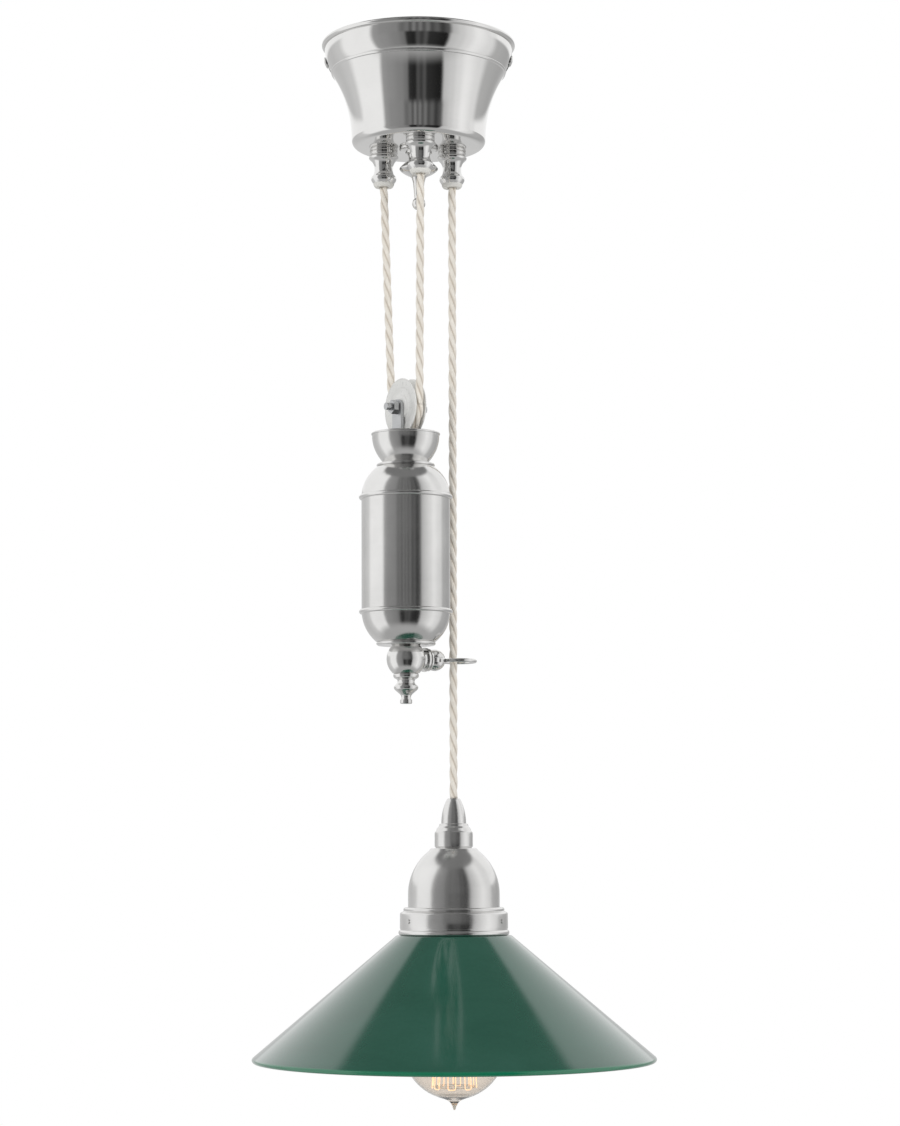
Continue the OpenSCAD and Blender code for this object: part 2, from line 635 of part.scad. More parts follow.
// Where the two strands leave the weight's wheel, level with its axle
function tangent(s) = let (p = weight_at + s * pulley_cord_r * wheel_dir) [p.x, p.y, axle_z];
module cord_left_strand() color("beige")
    strand(tangent(-1), [gland_left_at.x, gland_left_at.y, mouth_z]);
module cord_front_strand() color("beige")
    strand(tangent(1), [gland_front_at.x, gland_front_at.y, mouth_z]);
module cord_lamp_strand() color("beige")
    strand([lamp_at.x, lamp_at.y, lamp_top], [lamp_at.x, lamp_at.y, mouth_z]);

// Half a turn round the weight's wheel
module cord_pulley_loop() color("beige") {
    steps = 14;
    route = [for (i = [0:steps]) let (a = 180 + 180 * i / steps)
        [weight_at.x, weight_at.y, axle_z]
            + pulley_cord_r * [wheel_dir.x * cos(a), wheel_dir.y * cos(a), sin(a)]];
    dirs = [for (i = [0:steps]) let (a = 180 + 180 * i / steps)
        [-wheel_dir.x * sin(a), -wheel_dir.y * sin(a), cos(a)]];
    tube_on(route, dirs, [arm_dir.x, arm_dir.y, 0], cord_d, 10);
}

// Up through the front gland, over the ceiling pulley and down through the right gland
module cord_ceiling_loop() color("beige") {
    along = unit(gland_right_at - gland_front_at);
    drop = ceiling_axle_z - mouth_z;
    steps = 14;
    over = [for (i = [0:steps]) let (a = 180 - 180 * i / steps)
        [ceiling_wheel_at.x + ceiling_cord_r * along.x * cos(a),
            ceiling_wheel_at.y + ceiling_cord_r * along.y * cos(a),
            ceiling_axle_z + ceiling_cord_r * sin(a)]];
    up = [for (i = [0:2]) [gland_front_at.x, gland_front_at.y, mouth_z + drop * i / 3]];
    down = [for (i = [2:-1:0]) [gland_right_at.x, gland_right_at.y, mouth_z + drop * i / 3]];
    tube(concat(up, over, down), cord_d, [along.y, -along.x, 0]);
}

// ---- weight pulley ----

module weight_pulley() color("white") at_weight() translate([0, 0, axle_z])
    grooved_wheel(pulley_cord_r, pulley_flange_h, pulley_w, pulley_bush_d);

module pulley_bush() color("goldenrod") at_weight() translate([0, 0, axle_z]) difference() {
    rod_x(pulley_bush_d, -pulley_w / 2 - 0.1, pulley_w / 2 + 0.1);
    rod_x(axle_d + 2 * axle_gap, -pulley_w, pulley_w);
}

inner_cheek_x = pulley_w / 2 + cheek_gap;
outer_cheek_x = inner_cheek_x + cheek_t;
axle_nut_h = 3.8;
module pulley_axle() color("silver") at_weight() translate([0, 0, axle_z])
    rod_x(axle_d, -axle_l / 2, axle_l / 2);

module axle_nuts() color("silver") at_weight() translate([0, 0, axle_z])
    for (x = [-outer_cheek_x - axle_nut_h, outer_cheek_x]) translate([x, 0, 0])
        rotate([0, 90, 0]) hex_nut(axle_nut_af, axle_d + 2 * axle_gap, axle_nut_h);

cup_rim_z = axle_z - cup_drop;
cup_foot_z = cup_rim_z - cup_h;
cup_floor_top = cup_foot_z + 1.6;
module pulley_stirrup() color("silver") at_weight() difference() {
    union() {
        for (x = [-outer_cheek_x, inner_cheek_x]) {
            translate([x, -cheek_w / 2, cup_floor_top]) cube([cheek_t, cheek_w, axle_z - cup_floor_top]);
            translate([0, 0, axle_z]) rod_x(cheek_w, x, x + cheek_t);
        }
        translate([-outer_cheek_x, -cheek_w / 2, cup_floor_top])
            cube([2 * outer_cheek_x, cheek_w, cheek_t]);
    }
    translate([0, 0, axle_z]) rod_x(axle_d + 2 * axle_gap, -20, 20);
    translate([0, 0, cup_floor_top - 1]) cylinder(d = weight_rod_d + 2 * axle_gap, h = cheek_t + 2);
}

// ---- counterweight ----

// The cup's wall bends outward from its floor and stands nearly upright at its rim
cup_bend = 2.2;
function cup_side(inset) = [for (i = [8:-1:0]) let (t = 1 - pow(1 - i / 8, 1.5))
    [cup_rim_d / 2 - 0.5 - inset - (cup_rim_d / 2 - 0.5 - cup_floor_d / 2) * pow(t, cup_bend),
        cup_rim_z - 1.2 - (cup_h - 1.2) * t]];
top_disc_foot = cup_foot_z - top_disc_t;
module weight_cup() color("silver") at_weight() difference() {
    turned(concat(
        [[0, top_disc_foot], [top_disc_d / 2 - 0.7, top_disc_foot]],
        arc([top_disc_d / 2 - 0.9, top_disc_foot + 0.9], 0.9, -80, 80, 4),
        [[cup_floor_d / 2, cup_foot_z - 0.1]],
        cup_side(0),
        arc([cup_rim_d / 2 - 0.8, cup_rim_z - 0.8], 0.8, -50, 130, 5),
        reversed([for (p = cup_side(cup_wall)) if (p.y > cup_floor_top) p]),
        [[cup_floor_d / 2 - cup_wall - 0.4, cup_floor_top], [0, cup_floor_top]]));
    translate([0, 0, top_disc_foot - 1]) cylinder(d = weight_rod_d + 2 * axle_gap, h = 10);
}

barrel_r = barrel_d / 2;
bead_r = barrel_r + barrel_bead_out;
top_dome_foot = top_disc_foot - top_dome_h;
top_bead_foot = top_dome_foot - barrel_bead_h;
low_bead_top = top_bead_foot - barrel_l;
bottom_dome_top = low_bead_top - barrel_bead_h;
bottom_dome_foot = bottom_dome_top - bottom_dome_h;
base_disc_foot = bottom_dome_foot - base_disc_t;

// A rounded bead standing on the barrel's radius, with its foot at z
function bead(z) = arc([bead_r - barrel_bead_h / 2, z + barrel_bead_h / 2],
    barrel_bead_h / 2, -80, 80, 6);

// The upper dome, set in from its outer face
spring_drop = barrel_bead_h / 2;
function top_dome_side(inset) =
    arc([barrel_r - top_dome_r, top_dome_foot - spring_drop], top_dome_r - inset,
    asin(spring_drop / top_dome_r), asin((top_dome_h + spring_drop) / top_dome_r), 8);
module weight_top_dome() color("silver") at_weight() difference() {
    turned(concat(
        [[barrel_r - shell_wall, top_bead_foot], [barrel_r, top_bead_foot]],
        bead(top_bead_foot),
        top_dome_side(0),
        [[0, top_disc_foot], [0, top_disc_foot - shell_wall]],
        reversed([for (p = top_dome_side(shell_wall)) if (p.y < top_disc_foot - shell_wall) p])));
    translate([0, 0, top_disc_foot - 5]) cylinder(d = weight_rod_d + 2 * axle_gap, h = 10);
}

module weight_barrel() color("silver") at_weight() translate([0, 0, low_bead_top]) difference() {
    cylinder(d = barrel_d, h = barrel_l);
    translate([0, 0, -1]) cylinder(d = barrel_d - 2 * shell_wall, h = barrel_l + 2);
}

function bottom_dome_side(inset) =
    arc([barrel_r - bottom_dome_r, bottom_dome_top + 1.5 * spring_drop], bottom_dome_r - inset,
        -asin(1.5 * spring_drop / bottom_dome_r),
        -asin((bottom_dome_h + 1.5 * spring_drop) / bottom_dome_r), 8);
module weight_bottom_dome() color("silver") at_weight() difference() {
    turned(concat(
        [[0, base_disc_foot + 0], [base_disc_d / 2 - 0.8, base_disc_foot]],
        arc([base_disc_d / 2 - 1.15, base_disc_foot + 1.15], 1.15, -70, 60, 4),
        reversed(bottom_dome_side(0)),
        bead(low_bead_top - barrel_bead_h),
        [[barrel_r, low_bead_top], [barrel_r - shell_wall, low_bead_top]],
        [for (p = bottom_dome_side(shell_wall)) if (p.y > bottom_dome_foot + shell_wall) p],
        [[0, bottom_dome_foot + shell_wall]]));
    translate([0, 0, base_disc_foot - 1]) cylinder(d = weight_rod_d + 2 * axle_gap, h = 10);
}

fill_d = barrel_d - 2 * shell_wall - 2 * rest_gap;
module weight_fill() color("dimgray") at_weight() translate([0, 0, bottom_dome_top]) difference() {
    union() {
        cylinder(d = fill_d, h = top_bead_foot - bottom_dome_top);
        translate([0, 0, -9]) cylinder(d1 = fill_d - 11, d2 = fill_d - 3, h = 9 + eps);
        translate([0, 0, top_bead_foot - bottom_dome_top - eps])
            cylinder(d1 = fill_d - 3, d2 = fill_d - 11, h = 9);
    }
    translate([0, 0, -20]) cylinder(d = weight_rod_d + 2 * axle_gap, h = barrel_l + 60);
}

ball_z = base_disc_foot - ball_h / 2 + 0.2;
ball_foot = base_disc_foot - ball_h;
module weight_rod() color("silver") at_weight()
    translate([0, 0, ball_foot - 6])
        cylinder(d = weight_rod_d, h = cup_floor_top + cheek_t + 6 - ball_foot + 6);

module weight_rod_nut() color("silver") at_weight()
    translate([0, 0, cup_floor_top + cheek_t]) rotate([0, 0, 30])
        hex_nut(8.8, weight_rod_d + 2 * axle_gap, 4.5);

arm_boss_d = 12;
module weight_ball() color("silver") at_weight() difference() {
    translate([0, 0, ball_z]) intersection() {
        sphere(d = ball_d);
        translate([-ball_d, -ball_d, ball_foot - ball_z]) cube([2 * ball_d, 2 * ball_d, ball_h]);
    }
    translate([0, 0, ball_foot - 1]) cylinder(d = weight_rod_d + 2 * axle_gap, h = ball_h + 2);
    translate([0, 0, ball_z]) rod_x(arm_boss_d + 0.02, ball_d / 2 - 2.2, ball_d);
    translate([0, 0, ball_z]) rod_x(5 + 2 * axle_gap, ball_d / 2 - 6, ball_d);
}

tail_r = tail_bead_d / 2;
module weight_finial() color("silver") at_weight() translate([0, 0, ball_foot]) difference() {
    turned(concat(
        [[0, 0], [tail_r - 0.8, 0]],
        smooth([[tail_r, -0.6], [tail_r + 0.1, -1.6], [tail_r - 0.4, -2.8], [5.7, -3.9], [5.3, -4.9],
            [5.8, -6.3], [tail_r - 0.7, -7.6], [tail_r - 0.3, -8.7], [tail_r - 0.7, -10],
            [5.4, -11.6], [3.6, -13.2], [3, -14.6], [3.3, -15.8]]),
        [[3.7, -16.4], [3.7, -tail_l + 0.4], [3.3, -tail_l], [0, -tail_l]]));
    translate([0, 0, -6.2]) cylinder(d = weight_rod_d + 2 * axle_gap, h = 8);
}

// ---- guide arm and ring ----

knuckle_slot = ring_wire_d + 2 * cord_gap;
eye_d = 8;
module at_arm() at_weight() translate([0, 0, ball_z]) children();

module guide_arm() color("silver") at_arm() difference() {
    union() {
        rod_x(5, ball_d / 2 - 5.8, ball_d / 2);
        turned_x([[0, ball_d / 2 - 2.2], [arm_boss_d / 2, ball_d / 2 - 2.2],
            [arm_boss_d / 2, ball_d / 2 + 0.6],
            [arm_collar_d / 2, ball_d / 2 + 0.8], [arm_collar_d / 2, ball_d / 2 + 2],
            [arm_collar_d / 2 - 1.4, ball_d / 2 + 2.4], [arm_collar_d / 2 - 1.4, ball_d / 2 + 3],
            [arm_collar_d / 2 - 0.5, ball_d / 2 + 3.3], [arm_collar_d / 2 - 0.5, ball_d / 2 + 4.3],
            [arm_collar_d / 2 - 1.8, ball_d / 2 + 4.8], [0, ball_d / 2 + 4.8]]);
        translate([knuckle_reach, 0, 0]) sphere(d = knuckle_d);
    }
    translate([knuckle_reach - eye_d / 2 - 0.8, -knuckle_d, -knuckle_slot / 2])
        cube([2 * knuckle_d, 2 * knuckle_d, knuckle_slot]);
    translate([knuckle_reach, 0, -knuckle_d]) cylinder(d = knuckle_pin_d, h = 2 * knuckle_d);
}

pin_l = knuckle_d - 0.8;
module knuckle_pin() color("silver") at_arm()
    translate([knuckle_reach, 0, -pin_l / 2]) cylinder(d = knuckle_pin_d, h = pin_l);

ring_r = (ring_d - ring_wire_d) / 2;
module guide_ring() color("silver") at_arm() difference() {
    union() {
        translate([ring_reach, 0, 0])
            rotate_extrude() translate([ring_r, 0]) circle(d = ring_wire_d, $fn = 24);
        translate([knuckle_reach, 0, -ring_wire_d / 2]) cylinder(d = eye_d, h = ring_wire_d);
        translate([knuckle_reach, -2, -ring_wire_d / 2])
            cube([ring_reach - ring_r - knuckle_reach, 4, ring_wire_d]);
    }
    translate([knuckle_reach, 0, -5]) cylinder(d = knuckle_pin_d + 2 * axle_gap, h = 10);
}

// ---- lamp head: metal ----

lamp_bore_d = cord_d + 2 * cord_gap;
nipple_top = -nose_h + 6;
nose_step = (nose_foot_d - nose_tip_d) / 2;
module nose_cone() color("silver") at_lamp() difference() {
    turned(concat(
        [[0, 0]],
        [for (i = [0:10]) let (t = i / 10)
            [nose_tip_d / 2 - 0.5 + (nose_step + 0.5) * sin(90 * pow(t, 0.8)), -nose_h * t]],
        [[0, -nose_h]]));
    translate([0, 0, -nose_h - 1]) cylinder(d = lamp_bore_d, h = nose_h + 2);
    translate([0, 0, -nose_h - 1]) cylinder(d = nipple_d + 2 * axle_gap, h = nose_h + 1 + nipple_top + 0.4);
}

collar_r = collar_d / 2;
collar_foot = -nose_h - collar_h;
module holder_collar() color("silver") at_lamp() difference() {
    turned([
        [0, -nose_h], [nose_foot_d / 2 + 0.7, -nose_h], [nose_foot_d / 2 + 1.1, -nose_h - 0.4],
        [nose_foot_d / 2 + 1.5, -nose_h - 1.8], [collar_r - 2, -nose_h - 2.3],
            [collar_r - 1.4, -nose_h - 3.2],
        [collar_r - 0.9, -nose_h - 4.6], [collar_r - 0.2, -nose_h - 5.4], [collar_r, -nose_h - 6.4],
        [collar_r, collar_foot + 0.9], [collar_r - 0.6, collar_foot + 0.5], [collar_r - 0.6, collar_foot],
        [0, collar_foot]]);
    translate([0, 0, collar_foot - 1]) cylinder(d = nipple_d + 2 * axle_gap, h = collar_h + 2);
}

// The dome's curve ends upright at its straight foot
dome_foot_r = dome_foot_d / 2;
dome_edge_h = 1.6;
dome_turn = acos((dome_top_d / 2 - dome_foot_r + dome_r) / dome_r);
dome_curve_h = dome_r * sin(dome_turn);
dome_curve_foot = collar_foot - dome_edge_h - dome_curve_h;
dome_foot = dome_curve_foot - dome_foot_h;
function dome_side(inset) =
    arc([dome_foot_r - dome_r, dome_curve_foot], dome_r - inset, 0, dome_turn, 12);
module holder_dome() color("silver") at_lamp() difference() {
    turned(concat(
        [[dome_foot_r - head_wall, dome_foot], [dome_foot_r, dome_foot]],
        dome_side(0),
        [[dome_top_d / 2 - 0.6, collar_foot - 0.6], [dome_top_d / 2 - 1.8, collar_foot], [0, collar_foot],
            [0, collar_foot - head_wall], [dome_top_d / 2 - 2.6, collar_foot - head_wall]],
        reversed([for (p = dome_side(head_wall)) if (p.y < collar_foot - head_wall) p])));
    translate([0, 0, collar_foot - 5]) cylinder(d = nipple_d + 2 * axle_gap, h = 10);
}

nipple_nut_h = 3;
bridge_t = 1.5;
body_top = collar_foot - head_wall - nipple_nut_h - bridge_t;
module holder_nipple() color("goldenrod") at_lamp() difference() {
    translate([0, 0, body_top - 0.6]) cylinder(d = nipple_d, h = nipple_top - body_top + 0.6);
    translate([0, 0, body_top - 2]) cylinder(d = lamp_bore_d + 1, h = nipple_top - body_top + 4);
}

module nipple_nut() color("goldenrod") at_lamp() translate([0, 0, collar_foot - head_wall - nipple_nut_h])
    hex_nut(14, nipple_d + 2 * axle_gap, nipple_nut_h);

// The gallery's stepped band hangs on the dome's foot
gallery_r = gallery_d / 2;
gallery_top = dome_foot + 2.6;
gallery_foot = gallery_top - gallery_h;
screw_z = gallery_top - 8.4;
module gallery() color("silver") at_lamp() difference() {
    turned(concat(
        [[dome_foot_r, gallery_top], [dome_foot_r + 0.6, gallery_top]],
        arc([dome_foot_r + 1.5, gallery_top - 1.4], 1.4, 90, -30, 5),
        [[gallery_r - 1.4, gallery_top - 2.8], [gallery_r - 0.4, gallery_top - 3.2],
            [gallery_r, gallery_top - 4],
            [gallery_r + 0.1, gallery_foot + 4.8], [gallery_r - 0.1, gallery_foot + 4.2]],
        arc([gallery_rim_d / 2 - 1.8, gallery_foot + 1.8], 1.8, 70, -70, 6),
        [[gallery_rim_d / 2 - 1.4, gallery_foot], [gallery_r - head_wall, gallery_foot],
            [gallery_r - head_wall, gallery_top - 4.4], [dome_foot_r, gallery_top - 4.4]]));
    for (a = [90, 210, 330]) rotate([0, 0, a]) translate([0, 0, screw_z])
        rod_x(shade_screw_d + 2 * axle_gap, gallery_r - 5, gallery_r + 2);
}

module shade_screws() color("silver") at_lamp() for (a = [90, 210, 330])
    rotate([0, 0, a]) translate([0, 0, screw_z]) difference() {
        rod_x(shade_screw_d, fitter_d / 2 + 0.02, gallery_r + 0.5);
        translate([gallery_r, -3, -0.3]) cube([2, 6, 0.6]);
    }

// ---- lamp head: lampholder ----

body_foot = body_top - holder_body_h;
well_foot = body_top - holder_well_h;
socket_top = well_foot - 3;
liner_t = 0.5;
socket_d = cap_d + 2 * (0.35 + liner_t);
module holder_body() color("white") at_lamp() difference() {
    translate([0, 0, body_foot]) cylinder(d = holder_body_d, h = holder_body_h);
    translate([0, 0, well_foot]) cylinder(d = holder_body_d - 8, h = holder_well_h + 1);
    translate([0, 0, body_foot - 1]) cylinder(d = socket_d, h = socket_top - body_foot + 1);
    for (x = [-contact_x, 0]) translate([x, 0, socket_top - 1]) cylinder(d = 3.2, h = 6);
}

// The bridge on the tube, the screw shell with its terminal, and the centre contact with the other
contact_x = 8;
terminal_h = 3.4;
module holder_contacts() color("goldenrod") at_lamp() {
    difference() {
        translate([0, 0, body_top]) cylinder(d = holder_body_d - 2, h = bridge_t);
        translate([0, 0, body_top - 1]) cylinder(d = nipple_d + 2 * axle_gap, h = bridge_t + 2);
    }
    difference() {
        translate([0, 0, body_foot + 1]) cylinder(d = socket_d, h = socket_top - body_foot - 1);
        translate([0, 0, body_foot])
            cylinder(d = socket_d - 2 * liner_t, h = socket_top - body_foot - liner_t);
        translate([0, 0, socket_top - 2]) cylinder(d = 12, h = 4);
    }
    translate([-contact_x, 0, socket_top - liner_t]) cylinder(d = 3, h = 3 + liner_t + eps);
    translate([-contact_x, 0, well_foot]) cylinder(d = 5, h = terminal_h);
    translate([-4, -2.5, cap_top + cap_tip_h + eps]) cube([8, 5, 0.6]);
    translate([0, 0, cap_top + cap_tip_h + 0.5]) cylinder(d = 3, h = well_foot - cap_top - cap_tip_h);
    translate([0, -1.5, well_foot]) cube([contact_x, 3, 0.8]);
    translate([contact_x, 0, well_foot]) cylinder(d = 5, h = terminal_h);
}

// The cord runs in as far as the terminal space, where its two cores part
module cord_lamp_end() color("beige") at_lamp()
    tube_on([for (i = [0:4]) [0, 0, (body_top - 1) * i / 4]], [for (i = [0:4]) [0, 0, -1]],
        [1, 0, 0], cord_d, 10);

module lamp_wires() color("tan") at_lamp() for (s = [-1, 1]) {
    route = concat([[s * 1.2, 0, body_top - 1], [s * 1.2, 0, body_top - 1.3]],
        smooth([[s * 1.4, 0, body_top - 1.7], [s * 2.6, 0, body_top - 2.2], [s * 5, 0, body_top - 2.2],
            [s * (contact_x - 1), 0, body_top - 2.3]], 2),
        [[s * contact_x, 0, well_foot + terminal_h + 0.4], [s * contact_x, 0, well_foot + terminal_h]]);
    tube(route, 1.2, [0, 1, 0], 8);
}

// ---- shade ----

shade_top = gallery_foot;
rim_r = shade_t / 2;
module glass_shade() color("darkgreen") at_lamp() {
    neck_r = fitter_d / 2;
    cone_top = [shade_top_d / 2, shade_top - 0.6];
    // direction straight through the glass, and the centre of the rim's rounding
    through = [-sin(shade_slope), -cos(shade_slope)];
    rim_x = shade_d / 2 - rim_r;
    cone_drop = (rim_x - rim_r * through.x - cone_top.x) * tan(shade_slope);
    rim_at = [rim_x, cone_top.y - cone_drop + rim_r * through.y];
    turned(concat(
        [[neck_r, shade_top + fitter_h], [neck_r, shade_top], [cone_top.x - 0.8, shade_top], cone_top],
        arc(rim_at, rim_r, 90 - shade_slope, -90 - shade_slope, 8),
        [cone_top + shade_t * through + 1.5 * [-cos(shade_slope), sin(shade_slope)],
            [neck_r - shade_t, shade_top - shade_t], [neck_r - shade_t, shade_top + fitter_h]]));
}

// ---- bulb ----

cap_foot = body_foot + 2;
cap_top = cap_foot + cap_h;
bulb_r = bulb_d / 2;
globe_z = cap_foot - bulb_centre_drop;
cap_tip_h = 3.2;
neck_r = cap_d / 2 - 0.6;
tip_z = globe_z - bulb_r - bulb_tip_l;
// From the cap, down the widening neck and round the globe
bulb_swell = bulb_r - neck_r;
function bulb_side(inset) = concat(
    smooth([[neck_r - inset, cap_foot + 2], [neck_r - inset, cap_foot - 0.5],
        [neck_r - inset, cap_foot - 0.04 * bulb_centre_drop],
        [neck_r + 0.08 * bulb_swell - inset, cap_foot - 0.15 * bulb_centre_drop],
        [neck_r + 0.33 * bulb_swell - inset, cap_foot - 0.35 * bulb_centre_drop],
        [neck_r + 0.71 * bulb_swell - inset, cap_foot - 0.6 * bulb_centre_drop],
        [neck_r + 0.95 * bulb_swell - inset, cap_foot - 0.82 * bulb_centre_drop],
        [bulb_r - inset, globe_z]], 4),
    arc([0, globe_z], bulb_r - inset, -8, -70, 8));
module bulb_glass() color("navajowhite", 0.4) at_lamp()
    turned(concat(
        bulb_side(0),
        smooth([[6, globe_z - bulb_r + 0.2], [3.2, globe_z - bulb_r - 1.4],
            [1.6, globe_z - bulb_r - 3.6], [0.5, tip_z]], 3),
        [[0, tip_z], [0, globe_z - bulb_r + bulb_glass_t]],
        reversed(bulb_side(bulb_glass_t))));

module bulb_cap() color("goldenrod") at_lamp() difference() {
    turned([[0, cap_top + cap_tip_h], [4.8, cap_top + cap_tip_h], [5.2, cap_top + 2.6],
        [7, cap_top + 2.2], [12, cap_top],
        [cap_d / 2, cap_top - 1], [cap_d / 2, cap_foot], [0, cap_foot]]);
    translate([0, 0, cap_foot - 1]) cylinder(d = 2 * neck_r, h = 3 + eps);
    translate([0, 0, cap_foot - 1]) cylinder(d = 2 * neck_r - 1.6, h = cap_h - 1);
}

// The glass stem, with the two hoops that carry the filament
mount_foot = cap_foot - 0.43 * bulb_centre_drop;
hoop_top_r = 0.28 * bulb_r;
hoop_low_r = 0.41 * bulb_r;
hoop_low_z = globe_z - 0.75 * bulb_r;
hoop_wire_d = 0.7;
stem_l = cap_foot - mount_foot;
module bulb_mount() color("gainsboro") at_lamp() {
    turned(concat([[0, cap_foot + 1.8], [neck_r - bulb_glass_t, cap_foot + 1.8],
        [neck_r - bulb_glass_t, cap_foot + 0.2]],
        smooth([[neck_r - 1.8, cap_foot - 1], [0.5 * neck_r, cap_foot - 0.24 * stem_l],
            [0.28 * neck_r, cap_foot - 0.48 * stem_l], [2.8, mount_foot + 4]], 4),
        [[3.6, mount_foot + 2], [3.2, mount_foot], [0, mount_foot]]));
    translate([0, 0, hoop_low_z - 3]) cylinder(d = 1, h = mount_foot - hoop_low_z + 3.2);
    for (h = [[hoop_top_r, mount_foot - 3], [hoop_low_r, hoop_low_z]]) translate([0, 0, h[1]]) {
        rotate_extrude() translate([h[0], 0]) circle(d = hoop_wire_d, $fn = 16);
        rod_x(hoop_wire_d, -h[0], h[0]);
        rotate([0, 0, 90]) rod_x(hoop_wire_d, -h[0], h[0]);
    }
}

// The filament runs up and down round the two hoops
module filament() color("orange") at_lamp() {
    clear = hoop_wire_d / 2 + filament_d / 2 + 0.1;
    count = 2 * filament_loops;
    place = function (i) let (low = floor((i + 1) / 2) % 2 == 0,
        a = 360 * floor(i / 2) / count + (i % 2) * 3)
        low ? [(hoop_low_r + clear) * cos(a), (hoop_low_r + clear) * sin(a), hoop_low_z - 1]
            : [(hoop_top_r + clear) * cos(a), (hoop_top_r + clear) * sin(a), mount_foot - 2];
    tube([for (i = [0:2 * count - 2]) place(i)], filament_d, [0.3, 0.2, 1], 6);
}

// ---- all pieces ----

ceiling_plate();
centre_rod();
centre_rod_nut();
canopy_shell();
side_screws();
earth_screw();
gland_left();
gland_front();
gland_right();
gland_bushes();
gland_nuts();
centre_finial();
pulley_bracket();
ceiling_pulley();
ceiling_axle();
ceiling_axle_nut();
anchor_bracket();
anchor_clamp();
anchor_screws();
terminal_block();
terminal_screws();
cord_fixed_end();
cord_left_strand();
cord_front_strand();
cord_ceiling_loop();
cord_lamp_strand();
cord_pulley_loop();
weight_pulley();
pulley_bush();
pulley_axle();
axle_nuts();
pulley_stirrup();
weight_cup();
weight_top_dome();
weight_barrel();
weight_bottom_dome();
weight_fill();
weight_rod();
weight_rod_nut();
weight_ball();
weight_finial();
guide_arm();
knuckle_pin();
guide_ring();
nose_cone();
cord_lamp_end();
holder_collar();
holder_nipple();
nipple_nut();
holder_dome();
gallery();
shade_screws();
holder_body();
holder_contacts();
lamp_wires();
glass_shade();
bulb_glass();
bulb_cap();
bulb_mount();
filament();
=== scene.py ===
# Rise and fall pendant: ceiling cup, cord over a ceiling pulley, turned counterweight, glass shade.
import json
import math

import bmesh
import bpy
from mathutils import Matrix, Vector
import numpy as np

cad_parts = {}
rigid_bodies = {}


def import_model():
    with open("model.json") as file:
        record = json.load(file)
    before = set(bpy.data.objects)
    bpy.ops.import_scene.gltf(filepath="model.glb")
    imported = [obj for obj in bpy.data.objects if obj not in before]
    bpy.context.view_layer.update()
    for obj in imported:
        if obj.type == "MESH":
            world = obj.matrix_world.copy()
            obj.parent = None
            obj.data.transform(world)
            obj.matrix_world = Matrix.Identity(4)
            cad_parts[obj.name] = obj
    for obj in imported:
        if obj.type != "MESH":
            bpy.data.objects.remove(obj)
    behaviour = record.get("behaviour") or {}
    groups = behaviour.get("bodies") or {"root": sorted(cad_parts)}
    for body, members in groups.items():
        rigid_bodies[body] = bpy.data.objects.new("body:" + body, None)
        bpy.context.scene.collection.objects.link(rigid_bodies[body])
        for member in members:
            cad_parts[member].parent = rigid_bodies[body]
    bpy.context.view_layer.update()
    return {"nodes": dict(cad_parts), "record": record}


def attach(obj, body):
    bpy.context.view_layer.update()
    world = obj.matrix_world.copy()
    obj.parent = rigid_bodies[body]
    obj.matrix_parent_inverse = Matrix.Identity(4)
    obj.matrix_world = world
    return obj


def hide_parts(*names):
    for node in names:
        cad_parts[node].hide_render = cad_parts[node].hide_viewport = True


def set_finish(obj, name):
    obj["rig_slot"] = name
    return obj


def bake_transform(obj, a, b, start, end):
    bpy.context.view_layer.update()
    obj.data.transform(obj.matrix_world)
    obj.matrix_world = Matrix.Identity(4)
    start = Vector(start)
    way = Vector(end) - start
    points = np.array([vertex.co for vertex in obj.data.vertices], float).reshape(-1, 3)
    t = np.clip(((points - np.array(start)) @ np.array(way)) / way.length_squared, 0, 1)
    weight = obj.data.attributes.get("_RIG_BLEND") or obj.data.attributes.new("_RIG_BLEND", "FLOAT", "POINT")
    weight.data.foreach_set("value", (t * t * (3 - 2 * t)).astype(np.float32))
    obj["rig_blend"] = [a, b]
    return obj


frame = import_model()
scene = bpy.context.scene
nodes = frame["nodes"]
MM = 0.001


def new_object(name, data):
    obj = bpy.data.objects.new(name, data)
    scene.collection.objects.link(obj)
    return obj


# ---------------------------------------------------------------- camera

TURN = math.radians(3.0)                          # the camera stands to the left of the front
TILT = math.radians(2.706)                        # and looks up a little
ROLL = math.radians(-0.15)
ASIDE, AWAY, EYE_Z = 0.0186, 1.746, -0.5053       # m, from the centre of the cup's rim
FOCAL, PHOTO_H, SENSOR = 2833.1, 1126, 36         # px, px, mm
right = Vector((math.cos(TURN), -math.sin(TURN), 0))
ahead = Vector((math.sin(TURN), math.cos(TURN), 0))
eye = right * ASIDE - ahead * AWAY + Vector((0, 0, EYE_Z))
look = ahead * math.cos(TILT) + Vector((0, 0, math.sin(TILT)))
up = Vector((0, 0, math.cos(TILT))) - ahead * math.sin(TILT)
side = right * math.cos(ROLL) + up * math.sin(ROLL)
up = up * math.cos(ROLL) - right * math.sin(ROLL)
cam_data = bpy.data.cameras.new("camera")
cam_data.lens = SENSOR * FOCAL / PHOTO_H
cam_data.shift_y = 0.14
cam_data.clip_end = 50
camera = new_object("camera", cam_data)
camera.matrix_world = Matrix((
    (side.x, up.x, -look.x, eye.x),
    (side.y, up.y, -look.y, eye.y),
    (side.z, up.z, -look.z, eye.z),
    (0, 0, 0, 1)))
scene.camera = camera
scene.view_settings.view_transform = "Standard"

# ---------------------------------------------------------------- places, in mm

